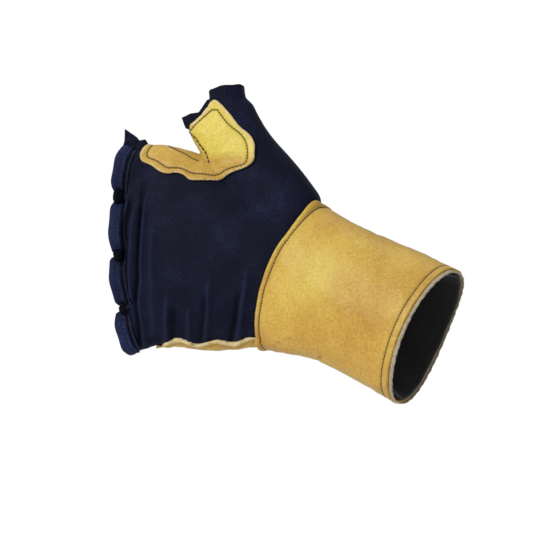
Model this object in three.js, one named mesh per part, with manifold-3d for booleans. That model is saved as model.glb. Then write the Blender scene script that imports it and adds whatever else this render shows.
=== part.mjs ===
// Half-finger impact glove for a left hand, kept in the form that it has when it is worn.
// The back of the hand faces -Y, the fingers point to -X and the thumb points up to +Z.
// The origin is the centre of the mouth that the forearm goes through.
// All lengths are in millimetres and all angles in degrees.
import * as THREE from 'three';
import { mergeVertices } from 'three/addons/utils/BufferGeometryUtils.js';
import Module from 'manifold-3d';

const wasm = await Module();
wasm.setup();

// Walls and clearances
const fabricWall = 1.4;
const leatherWall = 1.8;
const liningWall = 1.5;
const gap = 0.3;

// Cuff, measured along and across the forearm
const cuffLength = 88.5;
const cuffWidth = 77.5;
const cuffDepth = 54;
const armDrop = 24.7;
const armTilt = 26;
const cuffEdgeBow = 5;
const cuffMouthBow = 2.6;
const rimRaise = 0.9;
const rimWidth = 3.2;
const rimFacets = 12;
const liningReach = 0.6;
const shellTuck = 20;
const openReach = 18;

// Palm, from the wrist to the webs between the fingers
const palmLength = 93.3;
const palmWidth = 110;
const palmDepth = 35;
const handTurn = 10;
const foldWidth = 5;
const foldHeight = 1.3;
const foldFade = 0.12;

// Thumb, measured up from the wrist
const thumbReach = 101.4;
const thumbDepth = 25;
const thumbSetBack = 3;
const thumbBend = { from: 0.5, to: 0.9 };
const webThinning = 0.3;

// Finger openings and their turned hems
const fingerWidth = 28.6;
const fingerDepth = 24;
const stallLength = 24;
const hemWidth = 6.8;
const hemRaise = 0.5;
const scallop = 1.6;
const scallopMiddle = 0.5;
const stallTaper = { width: 0.1, depth: 0.16 };

// Bunched tacks and seam corners
const gatherRadius = 3.5;
const gatherReach = 10.5;
const gatherPleats = 5;
const gatherFacets = 12;
const pleatDepth = 0.16;
const tabThickness = 2.4;

// Leather patch and palm panel
const patchWrap = 7;
const panelLap = 2.6;
const waveHeight = 1.1;
const wavePitch = 21;
const lapFacets = 22;
const lapSpan = { from: 0.82, to: -0.1, start: 0.2, run: 1 / 3 };

// Facets round and along the lofts
const palmFacets = 24;
const thumbFacets = 17;
const digitFacets = 16;
const cuffFacets = 25;
const fullness = 0.78;
const farAway = 200;

// The palm, from the wrist (reach 0) to the finger webs (reach 1). Reach is a share of palmLength,
// top and bottom are shares of palmWidth above the wrist's centre, depth is a share of palmDepth.
const palmSections = [
  { reach: -0.11, top: 0.22, bottom: -0.29, depth: 0.96 },
  { reach: 0, top: 0.3, bottom: -0.335, depth: 1.1 },
  { reach: 0.11, top: 0.365, bottom: -0.348, depth: 1.12 },
  { reach: 0.23, top: 0.422, bottom: -0.352, depth: 1.1 },
  { reach: 0.35, top: 0.49, bottom: -0.366, depth: 1.06 },
  { reach: 0.485, top: 0.555, bottom: -0.372, depth: 1.02 },
  { reach: 0.587, top: 0.587, bottom: -0.366, depth: 0.97 },
  { reach: 0.677, top: 0.61, bottom: -0.354, depth: 0.93 },
  { reach: 0.766, top: 0.627, bottom: -0.355, depth: 0.88 },
  { reach: 0.856, top: 0.63, bottom: -0.367, depth: 0.8 },
  { reach: 0.94, top: 0.63, bottom: -0.388, depth: 0.68 },
  { reach: 1, top: 0.612, bottom: -0.38, depth: 0.55 },
];

// The thumb and its fleshy base, from the opening downwards. Rise is a share of thumbReach,
// inner and outer are shares of palmLength towards the fingers, depth is a share of thumbDepth.
const thumbSections = [
  { rise: 0.955, inner: 0.5, outer: 0.3, depth: 0.78 },
  { rise: 0.935, inner: 0.522, outer: 0.268, depth: 0.84 },
  { rise: 0.87, inner: 0.567, outer: 0.226, depth: 0.92 },
  { rise: 0.783, inner: 0.612, outer: 0.168, depth: 1 },
  { rise: 0.718, inner: 0.575, outer: 0.113, depth: 1.08 },
  { rise: 0.648, inner: 0.53, outer: 0.042, depth: 1.16 },
  { rise: 0.566, inner: 0.5, outer: -0.036, depth: 1.27 },
  { rise: 0.485, inner: 0.46, outer: -0.104, depth: 1.38 },
  { rise: 0.4, inner: 0.38, outer: -0.162, depth: 1.46 },
  { rise: 0.3, inner: 0.25, outer: -0.14, depth: 1.42 },
  { rise: 0.15, inner: 0.1, outer: -0.1, depth: 1.3 },
];

// The wrist under the cuff, along the forearm: 0 at the mouth, 1 at the cuff's hand edge.
// Half is a share of half the cuff's width, shift of its width, depth of its depth.
const wristSections = [
  { along: 0, half: 1.015, shift: -0.012, depth: 1.03 },
  { along: 0.12, half: 1.02, shift: -0.006, depth: 1.04 },
  { along: 0.32, half: 1.0, shift: 0, depth: 1.01 },
  { along: 0.55, half: 0.99, shift: 0.005, depth: 0.97 },
  { along: 0.8, half: 1.02, shift: -0.006, depth: 0.91 },
  { along: 1.0, half: 1.075, shift: -0.014, depth: 0.85 },
  { along: 1.1, half: 1.04, shift: -0.012, depth: 0.8 },
  { along: 1.2, half: 0.9, shift: -0.01, depth: 0.66 },
];

// The five openings. Along is a share of palmLength from the wrist, up a share of palmWidth,
// points is the angle above level, width and depth are shares of the middle finger's.
const digits = [
  { name: 'index', along: 1.058, up: 0.53, points: 11.6, width: 0.875, depth: 0.95, back: 0 },
  { name: 'middle', along: 1.083, up: 0.232, points: 1, width: 1, depth: 1, back: 0 },
  { name: 'ring', along: 1.077, up: -0.043, points: -8, width: 0.914, depth: 0.95, back: 0 },
  { name: 'little', along: 1.036, up: -0.308, points: -15, width: 0.817, depth: 0.86, back: 0 },
  { name: 'thumb', along: 0.409, up: 0.935, points: 80, width: 0.67, depth: 0.8, back: 1 },
];

// Soft ridges that run across the back. Reach is a share of palmLength, from and to are shares
// of palmWidth above the wrist's centre, height is a share of foldHeight.
const backFolds = [
  { reach: 0.885, from: -0.32, to: 0.5, height: 1 },
  { reach: 0.73, from: -0.3, to: 0.05, height: 0.8 },
  { reach: 0.5, from: -0.3, to: -0.02, height: 0.8 },
  { reach: 0.28, from: -0.3, to: -0.05, height: 0.7 },
];

// The bunched tacks between neighbouring openings, placed as the openings are.
const gathers = [
  { name: 'index_middle', along: 1.039, up: 0.387 },
  { name: 'middle_ring', along: 1.036, up: 0.09 },
  { name: 'ring_little', along: 1.0, up: -0.178 },
];

// A tack's waist: level is a share of gatherReach from its middle, radius of gatherRadius.
const gatherLevels = [
  { level: -1, radius: 0.5 },
  { level: -0.8, radius: 0.94 },
  { level: 0, radius: 1.1 },
  { level: 0.8, radius: 0.94 },
  { level: 1, radius: 0.5 },
];

// Outlines seen from the back of the hand: shares of palmLength and of palmWidth from the wrist.
// The patch runs past the web's own edge where it is folded over it.
const patchOutline = [
  { along: 0.463, up: 0.874 },
  { along: 0.384, up: 0.814 },
  { along: 0.297, up: 0.723 },
  { along: 0.232, up: 0.678 },
  { along: 0.211, up: 0.62 },
  { along: 0.211, up: 0.562 },
  { along: 0.242, up: 0.538 },
  { along: 0.335, up: 0.509 },
  { along: 0.41, up: 0.469 },
  { along: 0.48, up: 0.465 },
  { along: 0.602, up: 0.469 },
  { along: 0.666, up: 0.504 },
  { along: 0.73, up: 0.499 },
  { along: 0.821, up: 0.536 },
  { along: 0.885, up: 0.556 },
  { along: 0.907, up: 0.594 },
  { along: 0.87, up: 0.645 },
  { along: 0.85, up: 0.69 },
  { along: 0.7, up: 0.68 },
  { along: 0.65, up: 0.72 },
  { along: 0.615, up: 0.741 },
  { along: 0.574, up: 0.762 },
  { along: 0.539, up: 0.79 },
  { along: 0.491, up: 0.843 },
];
const panelOutline = [
  { along: 0.93, up: 0.75 },
  { along: 0.57, up: 0.68 },
  { along: 0.4, up: 0.46 },
  { along: 0.2, up: 0.33 },
  { along: -0.3, up: 0.24 },
  { along: -0.3, up: -0.6 },
  { along: 0.8, up: -0.6 },
  { along: 0.82, up: -0.38 },
  { along: 0.93, up: -0.26 },
];
const indexTabOutline = [
  { along: 1.026, up: 0.6 },
  { along: 1.024, up: 0.641 },
  { along: 1.012, up: 0.667 },
  { along: 1.01, up: 0.724 },
  { along: 0.976, up: 0.703 },
  { along: 0.942, up: 0.683 },
  { along: 0.895, up: 0.674 },
  { along: 0.878, up: 0.649 },
  { along: 0.87, up: 0.6 },
];
const thumbTabOutline = [
  { along: 0.49, up: 0.88 },
  { along: 0.525, up: 0.866 },
  { along: 0.57, up: 0.808 },
  { along: 0.615, up: 0.803 },
  { along: 0.667, up: 0.783 },
  { along: 0.643, up: 0.731 },
  { along: 0.6, up: 0.72 },
  { along: 0.5, up: 0.76 },
];

// Frames: the forearm's axis runs along its own X from the hand to the mouth at the origin,
// and the hand is carried at the far end of the cuff.
const radians = Math.PI / 180;
const armFrame = new THREE.Matrix4()
  .makeRotationY(armDrop * radians)
  .multiply(new THREE.Matrix4().makeRotationZ(-armTilt * radians));
const wristCentre = new THREE.Vector3(-cuffLength, 0, 0).applyMatrix4(armFrame);
const handFrame = new THREE.Matrix4()
  .makeTranslation(wristCentre)
  .multiply(new THREE.Matrix4().makeRotationZ(-handTurn * radians));

function digitFrame(digit) {
  const place = new THREE.Matrix4().makeTranslation(
    -digit.along * palmLength, digit.back * thumbSetBack, digit.up * palmWidth);
  const turn = new THREE.Matrix4().makeRotationY(digit.points * radians);
  return handFrame.clone().multiply(place).multiply(turn);
}

// Solids
function solid(positions, triangles) {
  let volume = 0;
  const corner = (index) => new THREE.Vector3().fromArray(positions, index * 3);
  for (let t = 0; t < triangles.length; t += 3) {
    const [a, b, c] = [0, 1, 2].map((side) => corner(triangles[t + side]));
    volume += a.dot(b.cross(c));
  }
  const facing = volume < 0 ? triangles.slice().reverse() : triangles;
  return new wasm.Manifold(new wasm.Mesh({
    numProp: 3,
    vertProperties: new Float32Array(positions),
    triVerts: new Uint32Array(facing),
  }));
}

// The faces between two rings of a stack, given by where their points start.
function band(from, to, count) {
  return Array.from({ length: count }, (_, k) => {
    const next = (k + 1) % count;
    return [from + k, from + next, to + next, from + k, to + next, to + k];
  }).flat();
}

// A stack of rings closed into a loop, as a tube with a real wall is.
function sleeve(rings) {
  const count = rings[0].length;
  const positions = rings.flat().flatMap((point) => point.toArray());
  const next = (r) => (r + 1) % rings.length;
  return solid(positions, rings.flatMap((_, r) => band(r * count, next(r) * count, count)));
}

// A stack of rings with both ends filled.
function loft(rings) {
  const count = rings[0].length;
  const positions = rings.flat().flatMap((point) => point.toArray());
  const triangles = rings.slice(1).flatMap((_, r) => band(r * count, (r + 1) * count, count));
  const ends = [
    { ring: rings[0], start: 0, flip: true },
    { ring: rings.at(-1), start: (rings.length - 1) * count, flip: false },
  ];
  for (const { ring, start, flip } of ends) {
    const centre = ring.reduce((sum, point) => sum.add(point), new THREE.Vector3()).divideScalar(count);
    const hub = positions.length / 3;
    positions.push(centre.x, centre.y, centre.z);
    for (let k = 0; k < count; k += 1) {
      const here = start + k;
      const beside = start + ((k + 1) % count);
      triangles.push(...(flip ? [hub, beside, here] : [hub, here, beside]));
    }
  }
  return solid(positions, triangles);
}

// A flat outline in a frame's own X and Z, made solid from one depth along Y to another.
function prism(outline, frame, near, far) {
  const shape = new THREE.Shape(outline.map((point) => new THREE.Vector2(point.x, point.z)));
  let geometry = new THREE.ExtrudeGeometry(shape, { depth: far - near, bevelEnabled: false });
  geometry.deleteAttribute('normal');
  geometry.deleteAttribute('uv');
  geometry = mergeVertices(geometry);
  geometry.rotateX(Math.PI / 2);
  geometry.translate(0, far, 0);
  geometry.applyMatrix4(frame);
  return solid(Array.from(geometry.attributes.position.array), Array.from(geometry.index.array));
}

function join(solids) {
  return solids.reduce((whole, piece) => whole.add(piece));
}

// Tables
function sample(rows, key, column, at) {
  const last = rows.length - 1;
  const next = rows.findIndex((row, index) => index > 0 && (row[key] >= at || index === last));
  const [low, high] = [rows[next - 1], rows[next]];
  const share = THREE.MathUtils.clamp((at - low[key]) / (high[key] - low[key]), 0, 1);
  return THREE.MathUtils.lerp(low[column], high[column], share);
}

function outlinePoints(rows, extra = 0) {
  const points = rows.map((row) => ({ x: -row.along * palmLength, z: row.up * palmWidth }));
  const signedArea = points.reduce((sum, point, index) => {
    const next = points[(index + 1) % points.length];
    return sum + point.x * next.z - next.x * point.z;
  }, 0);
  const side = Math.sign(signedArea);
  return points.map((point, index) => {
    const before = points[(index + points.length - 1) % points.length];
    const after = points[(index + 1) % points.length];
    const along = new THREE.Vector2(after.x - before.x, after.z - before.z).normalize();
    return { x: point.x + side * extra * along.y, z: point.z - side * extra * along.x };
  });
}

// Sections
function sectionRing(facets, place) {
  return Array.from({ length: facets }, (_, step) => {
    const angle = (step / facets) * 2 * Math.PI;
    const depth = Math.sign(Math.sin(angle)) * Math.abs(Math.sin(angle)) ** fullness;
    return place(Math.cos(angle), depth);
  });
}

function foldLift(reach, up) {
  return backFolds.reduce((lift, fold) => {
    const across = Math.max(0, 1 - Math.abs(reach - fold.reach) * palmLength / foldWidth);
    const inside = Math.min(up - fold.from, fold.to - up);
    const fade = THREE.MathUtils.clamp(inside / foldFade, 0, 1);
    return lift + foldHeight * fold.height * across * fade;
  }, 0);
}

function palmForm(grow, past, folded) {
  const sides = folded ? [-1, 0, 1] : [];
  const creases = backFolds.flatMap((fold) => sides.map((side) => fold.reach + side * foldWidth / palmLength));
  const stations = [...palmSections.map((row) => row.reach), ...creases].sort((a, b) => a - b);
  return loft(stations.map((reach, index) => {
    const top = sample(palmSections, 'reach', 'top', reach) * palmWidth;
    const bottom = sample(palmSections, 'reach', 'bottom', reach) * palmWidth;
    const half = (top - bottom) / 2 + grow;
    const deep = sample(palmSections, 'reach', 'depth', reach) * palmDepth / 2 + grow;
    const end = (index === 0) * (grow + past) - (index === stations.length - 1) * grow;
    return sectionRing(palmFacets, (across, depth) => {
      const up = (top + bottom) / 2 + half * across;
      const lift = folded && depth < 0 ? foldLift(reach, up / palmWidth) * -depth : 0;
      return new THREE.Vector3(end - reach * palmLength, deep * depth - lift, up)
        .applyMatrix4(handFrame);
    });
  }));
}

function thumbForm(grow) {
  const last = thumbSections.length - 1;
  return loft(thumbSections.map((row, index) => {
    const end = (index === 0) - (index === last);
    const inner = -row.inner * palmLength - grow;
    const outer = -row.outer * palmLength + grow;
    const deep = row.depth * thumbDepth / 2 + grow;
    const back = thumbSetBack * THREE.MathUtils.smoothstep(row.rise, thumbBend.from, thumbBend.to);
    return sectionRing(thumbFacets, (across, depth) => {
      const webbing = 1 - webThinning * (1 - across) / 2;
      return new THREE.Vector3((inner + outer) / 2 + (outer - inner) / 2 * across,
        back + deep * depth * webbing, row.rise * thumbReach + end * grow).applyMatrix4(handFrame);
    });
  }));
}

// A ring round a digit, set back from its scalloped edge into the palm.
function digitRing(digit, grow, x) {
  const frame = digitFrame(digit);
  const inside = THREE.MathUtils.clamp(x / stallLength, 0, 1);
  const half = digit.width * fingerWidth / 2 * (1 - stallTaper.width * inside) + grow;
  const deep = digit.depth * fingerDepth / 2 * (1 - stallTaper.depth * inside) + grow;
  return sectionRing(digitFacets, (across, depth) => {
    const bow = scallop * (scallopMiddle - Math.abs(depth));
    return new THREE.Vector3(x + bow, deep * depth, half * across).applyMatrix4(frame);
  });
}

function stallForm(digit, grow, from, to) {
  return loft([from, to].map((x) => digitRing(digit, grow, x)));
}

function wristRing(grow, along) {
  const half = sample(wristSections, 'along', 'half', along) * cuffWidth / 2 + grow;
  const shift = sample(wristSections, 'along', 'shift', along) * cuffWidth;
  const deep = sample(wristSections, 'along', 'depth', along) * cuffDepth / 2 + grow;
  return sectionRing(cuffFacets, (across, depth) => (
    new THREE.Vector3(-along * cuffLength, deep * depth, shift + half * across).applyMatrix4(armFrame)));
}

// Rings along the wrist; the sizes of the cuff's table hold for the outer face of its leather.
function wristRings(grow, from, to) {
  const inside = wristSections.map((row) => row.along).filter((along) => along > from && along < to);
  return [from, ...inside, to].map((along) => wristRing(grow - gap - leatherWall, along));
}

// The whole worn form, grown outwards by a distance. An open one runs out through every opening.
function gloveForm(grow, { open = false, folded = false } = {}) {
  const past = open ? 3 * fabricWall : 0;
  const mouth = open ? -openReach / cuffLength : 0;
  const hidden = wristSections.at(-1).along + grow / cuffLength;
  return join([
    palmForm(grow, past, folded),
    thumbForm(grow),
    loft(wristRings(grow, mouth, hidden)),
    ...digits.map((digit) => stallForm(digit, grow, -grow - 2 * past, stallLength + grow)),
  ]);
}

// Cutting regions
function cuffRegion(handSide, mouthSide) {
  const reach = cuffWidth;
  const places = Array.from({ length: rimFacets + 1 }, (_, step) => reach * (2 * step / rimFacets - 1));
  const hump = (z) => 1 - (z / (cuffWidth / 2)) ** 2;
  const edge = places.map((z) => ({ x: handSide - cuffLength - cuffEdgeBow * hump(z), z }));
  const mouth = places.map((z) => ({ x: mouthSide - cuffMouthBow * Math.max(0, hump(z)), z }));
  const outline = [...edge, ...mouth.reverse()];
  return prism(outline, armFrame, -farAway, farAway);
}

function panelRegion() {
  const from = lapSpan.from * palmLength;
  const to = lapSpan.to * palmLength;
  const waves = Array.from({ length: lapFacets + 1 }, (_, step) => {
    const share = step / lapFacets;
    const along = THREE.MathUtils.lerp(from, to, share);
    const bottom = sample(palmSections, 'reach', 'bottom', along / palmLength) * palmWidth;
    const rise = THREE.MathUtils.lerp(lapSpan.start, 1, Math.min(1, share / lapSpan.run)) * panelLap;
    const wave = waveHeight * Math.cos((along / wavePitch) * 2 * Math.PI);
    return { x: -along, z: bottom + rise + wave };
  });
  const lap = [...waves, { x: -to, z: -palmWidth }, { x: -from, z: -palmWidth }];
  return prism(outlinePoints(panelOutline), handFrame, patchWrap + gap, farAway)
    .add(prism(lap, handFrame, -farAway, farAway));
}

// Pieces
const overSkin = gloveForm(gap);
const leatherSkin = gloveForm(gap + leatherWall);

function hemPlug(digit, grow, extra) {
  return stallForm(digit, grow, -extra, hemWidth + extra);
}

function hem(digit) {
  const outer = [0, hemWidth].map((x) => digitRing(digit, hemRaise, x));
  const inner = [hemWidth, 0].map((x) => digitRing(digit, -fabricWall, x));
  return sleeve([...outer, ...inner]);
}

const hemClearance = join(digits.map((digit) => hemPlug(digit, hemRaise + gap, gap)));

function handShell() {
  const tucked = prism([
    { x: -3 * farAway, z: -farAway },
    { x: shellTuck - cuffLength, z: -farAway },
    { x: shellTuck - cuffLength, z: farAway },
    { x: -3 * farAway, z: farAway },
  ], armFrame, -farAway, farAway);
  return gloveForm(0, { folded: true }).subtract(gloveForm(-fabricWall, { open: true }))
    .intersect(tucked).subtract(hemClearance);
}

function webPatch(extra) {
  const region = prism(outlinePoints(patchOutline, extra), handFrame, -farAway, patchWrap + extra);
  return gloveForm(gap + leatherWall + extra).intersect(region).subtract(hemClearance);
}

function palmPanel() {
  return leatherSkin.intersect(panelRegion()).subtract(overSkin)
    .subtract(cuffRegion(-gap, farAway)).subtract(hemClearance);
}

function cuff() {
  const rim = gloveForm(gap + leatherWall + rimRaise)
    .intersect(cuffRegion(0, 0).subtract(cuffRegion(rimWidth, farAway)));
  return leatherSkin.intersect(cuffRegion(0, 0)).add(rim).subtract(gloveForm(gap, { open: true }));
}

function cuffLining() {
  const from = -openReach / cuffLength;
  const to = 1 - (shellTuck + gap) / cuffLength;
  return sleeve([...wristRings(0, from, to), ...wristRings(-liningWall, from, to).reverse()])
    .intersect(cuffRegion(-farAway, liningReach));
}

function gather(tack) {
  const place = new THREE.Vector3(-tack.along * palmLength, 0, tack.up * palmWidth);
  const rings = gatherLevels.map((row) => Array.from({ length: gatherFacets }, (_, step) => {
    const angle = (step / gatherFacets) * 2 * Math.PI;
    const pleat = 1 + pleatDepth * Math.cos(gatherPleats * angle);
    const radius = gatherRadius * row.radius * pleat;
    return new THREE.Vector3(radius * Math.cos(angle), gatherReach * row.level, radius * Math.sin(angle))
      .add(place).applyMatrix4(handFrame);
  }));
  return loft(rings).subtract(overSkin).subtract(hemClearance);
}

function seamTab(outline) {
  return prism(outlinePoints(outline), handFrame, -tabThickness / 2, tabThickness / 2)
    .subtract(overSkin).subtract(hemClearance).subtract(webPatch(gap));
}

// Scene
const navyFabric = { color: 0x1b2039, roughness: 0.9, metalness: 0 };
const hemFabric = { color: 0x262e55, roughness: 0.9, metalness: 0 };
const goldLeather = { color: 0xd6af5a, roughness: 0.7, metalness: 0 };
const blackLining = { color: 0x17171a, roughness: 0.95, metalness: 0 };
const glove = new THREE.Group();

function addPiece(name, manifold, finish) {
  const { vertProperties, triVerts } = manifold.getMesh();
  const geometry = new THREE.BufferGeometry();
  geometry.setAttribute('position', new THREE.BufferAttribute(vertProperties, 3));
  geometry.setIndex(new THREE.BufferAttribute(triVerts, 1));
  geometry.computeVertexNormals();
  const mesh = new THREE.Mesh(geometry, new THREE.MeshStandardMaterial(finish));
  mesh.name = name;
  glove.add(mesh);
}

addPiece('hand_shell', handShell(), navyFabric);
digits.forEach((digit) => addPiece(`hem_${digit.name}`, hem(digit), hemFabric));
gathers.forEach((tack) => addPiece(`gather_${tack.name}`, gather(tack), navyFabric));
addPiece('index_seam_tab', seamTab(indexTabOutline), navyFabric);
addPiece('thumb_seam_tab', seamTab(thumbTabOutline), navyFabric);
addPiece('web_patch', webPatch(0).subtract(overSkin), goldLeather);
addPiece('palm_panel', palmPanel(), goldLeather);
addPiece('cuff', cuff(), goldLeather);
addPiece('cuff_lining', cuffLining(), blackLining);

export default glove;
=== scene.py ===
"""The visible half-finger glove: knit, leather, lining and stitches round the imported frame."""

import math

import bmesh
import bpy
import numpy as np
from mathutils import Matrix, Vector
from mathutils.bvhtree import BVHTree


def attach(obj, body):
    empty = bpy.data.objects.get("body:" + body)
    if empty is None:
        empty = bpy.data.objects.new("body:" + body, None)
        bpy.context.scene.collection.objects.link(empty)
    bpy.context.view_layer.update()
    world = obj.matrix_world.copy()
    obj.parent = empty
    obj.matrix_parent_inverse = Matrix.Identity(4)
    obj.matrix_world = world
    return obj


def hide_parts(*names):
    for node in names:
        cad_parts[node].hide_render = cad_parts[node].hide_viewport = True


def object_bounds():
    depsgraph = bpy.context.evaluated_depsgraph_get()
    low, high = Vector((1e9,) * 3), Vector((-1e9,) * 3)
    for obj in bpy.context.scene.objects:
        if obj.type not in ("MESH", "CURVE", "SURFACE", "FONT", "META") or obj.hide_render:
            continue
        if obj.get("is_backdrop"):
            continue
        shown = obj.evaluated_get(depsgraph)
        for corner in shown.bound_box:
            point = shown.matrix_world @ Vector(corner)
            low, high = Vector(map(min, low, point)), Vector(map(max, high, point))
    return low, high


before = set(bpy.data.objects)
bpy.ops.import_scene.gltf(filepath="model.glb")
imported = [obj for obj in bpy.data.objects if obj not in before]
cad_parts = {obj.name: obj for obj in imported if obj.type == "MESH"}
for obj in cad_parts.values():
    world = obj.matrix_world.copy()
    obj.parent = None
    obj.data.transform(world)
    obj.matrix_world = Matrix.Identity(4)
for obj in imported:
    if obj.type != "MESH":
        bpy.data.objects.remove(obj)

bl_info = {
    "name": "Half-finger impact glove",
    "version": (1, 0, 0),
    "blender": (4, 5, 0),
    "location": "3D View > Sidebar > Glove",
    "description": "Dresses the glove's frame in knit fabric, leather, lining and stitches",
    "category": "Object",
}

CAD_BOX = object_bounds()
BODY = "root"

# The palm, from the wrist (reach 0) to the finger webs (reach 1): shares of the palm's length,
# width and depth. Rows past 1 and below 0 lie inside the finger sleeves and the cuff.
PALM = (
    {"reach": -0.11, "top": 0.22, "bottom": -0.29, "depth": 0.96},
    {"reach": 0.0, "top": 0.3, "bottom": -0.335, "depth": 1.1},
    {"reach": 0.11, "top": 0.365, "bottom": -0.348, "depth": 1.12},
    {"reach": 0.23, "top": 0.422, "bottom": -0.352, "depth": 1.1},
    {"reach": 0.35, "top": 0.49, "bottom": -0.366, "depth": 1.06},
    {"reach": 0.485, "top": 0.555, "bottom": -0.372, "depth": 1.02},
    {"reach": 0.587, "top": 0.587, "bottom": -0.366, "depth": 0.97},
    {"reach": 0.677, "top": 0.61, "bottom": -0.354, "depth": 0.93},
    {"reach": 0.766, "top": 0.627, "bottom": -0.355, "depth": 0.88},
    {"reach": 0.856, "top": 0.63, "bottom": -0.367, "depth": 0.8},
    {"reach": 0.94, "top": 0.63, "bottom": -0.388, "depth": 0.68},
    {"reach": 1.0, "top": 0.612, "bottom": -0.38, "depth": 0.55},
)

# The thumb, by rise: shares of the thumb's reach, of the palm's length and of the thumb's depth.
THUMB = (
    {"rise": 0.15, "inner": 0.1, "outer": -0.1, "depth": 1.3},
    {"rise": 0.3, "inner": 0.25, "outer": -0.14, "depth": 1.42},
    {"rise": 0.4, "inner": 0.38, "outer": -0.162, "depth": 1.46},
    {"rise": 0.485, "inner": 0.46, "outer": -0.104, "depth": 1.38},
    {"rise": 0.566, "inner": 0.5, "outer": -0.036, "depth": 1.27},
    {"rise": 0.648, "inner": 0.53, "outer": 0.042, "depth": 1.16},
    {"rise": 0.718, "inner": 0.575, "outer": 0.113, "depth": 1.08},
    {"rise": 0.783, "inner": 0.612, "outer": 0.168, "depth": 1.0},
    {"rise": 0.87, "inner": 0.567, "outer": 0.226, "depth": 0.92},
    {"rise": 0.935, "inner": 0.522, "outer": 0.268, "depth": 0.84},
    {"rise": 0.955, "inner": 0.5, "outer": 0.3, "depth": 0.78},
)

# The wrist, along the forearm: 0 at the mouth and 1 at the cuff's hand edge.
WRIST = (
    {"along": 0.0, "half": 1.015, "shift": -0.012, "depth": 1.03},
    {"along": 0.12, "half": 1.02, "shift": -0.006, "depth": 1.04},
    {"along": 0.32, "half": 1.0, "shift": 0.0, "depth": 1.01},
    {"along": 0.55, "half": 0.99, "shift": 0.005, "depth": 0.97},
    {"along": 0.8, "half": 1.02, "shift": -0.006, "depth": 0.91},
    {"along": 1.0, "half": 1.075, "shift": -0.014, "depth": 0.85},
    {"along": 1.1, "half": 1.04, "shift": -0.012, "depth": 0.8},
    {"along": 1.2, "half": 0.9, "shift": -0.01, "depth": 0.66},
)

# The five openings: place in shares of the palm's length and width, angle above level in degrees,
# width and depth as shares of the middle finger's.
DIGITS = (
    {"name": "index", "along": 1.058, "up": 0.53, "points": 11.6, "width": 0.875, "depth": 0.95},
    {"name": "middle", "along": 1.083, "up": 0.232, "points": 1, "width": 1, "depth": 1},
    {"name": "ring", "along": 1.077, "up": -0.043, "points": -8, "width": 0.914, "depth": 0.95},
    {"name": "little", "along": 1.036, "up": -0.308, "points": -15, "width": 0.817, "depth": 0.86},
    {"name": "thumb", "along": 0.409, "up": 0.935, "points": 80, "width": 0.67, "depth": 0.8},
)
FINGERS = DIGITS[:4]

GATHERS = (
    {"name": "index_middle", "along": 1.039, "up": 0.387},
    {"name": "middle_ring", "along": 1.036, "up": 0.09},
    {"name": "ring_little", "along": 1.0, "up": -0.178},
)

# Folds of the knit across the back: width and height in millimetres, where a negative height is a
# groove, and the route in shares of the palm's length and width.
FOLDS = (
    {"width": 1.1, "height": -1.1,
     "route": ((0.88, 0.5), (0.888, 0.33), (0.905, 0.07), (0.912, -0.17), (0.905, -0.36))},
    {"width": 1.4, "height": 1.1,
     "route": ((0.862, 0.42), (0.868, 0.25), (0.885, 0.03), (0.89, -0.2), (0.885, -0.37))},
    {"width": 1.4, "height": 0.9, "route": ((0.93, 0.36), (0.945, 0.18), (0.955, 0.0), (0.945, -0.12))},
    {"width": 1.2, "height": -0.8, "route": ((0.955, 0.42), (0.985, 0.2), (0.99, 0.05))},
    {"width": 2.4, "height": 0.6, "route": ((0.815, 0.3), (0.825, 0.0), (0.82, -0.3))},
    {"width": 1.6, "height": 1.1, "route": ((0.725, -0.1), (0.745, -0.22), (0.755, -0.35))},
    {"width": 1.2, "height": -0.6, "route": ((0.7, -0.14), (0.715, -0.35))},
    {"width": 1.4, "height": 0.9, "route": ((0.617, -0.18), (0.62, -0.34))},
    {"width": 1.8, "height": 1.1, "route": ((0.465, -0.02), (0.49, -0.18), (0.525, -0.34))},
    {"width": 1.2, "height": -0.6, "route": ((0.5, -0.1), (0.55, -0.34))},
    {"width": 2.0, "height": 1.2, "route": ((0.235, 0.02), (0.27, -0.16), (0.325, -0.34))},
    {"width": 1.3, "height": -0.7, "route": ((0.27, -0.06), (0.36, -0.34))},
)
MILLIMETRE = 0.001

# Outlines seen from the back: (share of the palm's length, share of its width) from the wrist.
PATCH_OUTLINE = (
    (0.463, 0.874), (0.422, 0.848), (0.384, 0.814), (0.347, 0.775), (0.297, 0.723), (0.264, 0.705),
    (0.232, 0.678), (0.214, 0.645), (0.211, 0.602), (0.211, 0.562), (0.242, 0.538), (0.287, 0.522),
    (0.335, 0.509), (0.377, 0.493), (0.41, 0.469), (0.441, 0.464), (0.48, 0.465), (0.527, 0.468),
    (0.569, 0.464), (0.602, 0.469), (0.634, 0.494), (0.666, 0.504), (0.698, 0.504), (0.73, 0.499),
    (0.762, 0.504), (0.794, 0.517), (0.821, 0.536), (0.853, 0.549), (0.885, 0.556), (0.901, 0.569),
    (0.907, 0.594), (0.896, 0.62), (0.87, 0.645), (0.85, 0.7), (0.7, 0.69), (0.65, 0.72),
    (0.634, 0.716), (0.615, 0.739), (0.574, 0.762), (0.539, 0.79), (0.491, 0.843),
)
INDEX_TAB_OUTLINE = (
    (1.026, 0.6), (1.024, 0.641), (1.014, 0.667), (1.01, 0.724), (0.976, 0.703), (0.942, 0.683),
    (0.93, 0.668), (0.895, 0.674), (0.878, 0.649), (0.87, 0.6),
)
THUMB_TAB_OUTLINE = (
    (0.49, 0.88), (0.525, 0.866), (0.57, 0.808), (0.615, 0.803), (0.667, 0.783), (0.655, 0.755),
    (0.643, 0.731), (0.6, 0.72), (0.5, 0.76),
)
PANEL_OUTLINE = (
    (0.93, 0.75), (0.57, 0.68), (0.4, 0.46), (0.2, 0.33), (-0.3, 0.24), (-0.3, -0.6), (0.8, -0.6),
    (0.82, -0.38), (0.93, -0.26),
)

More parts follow.
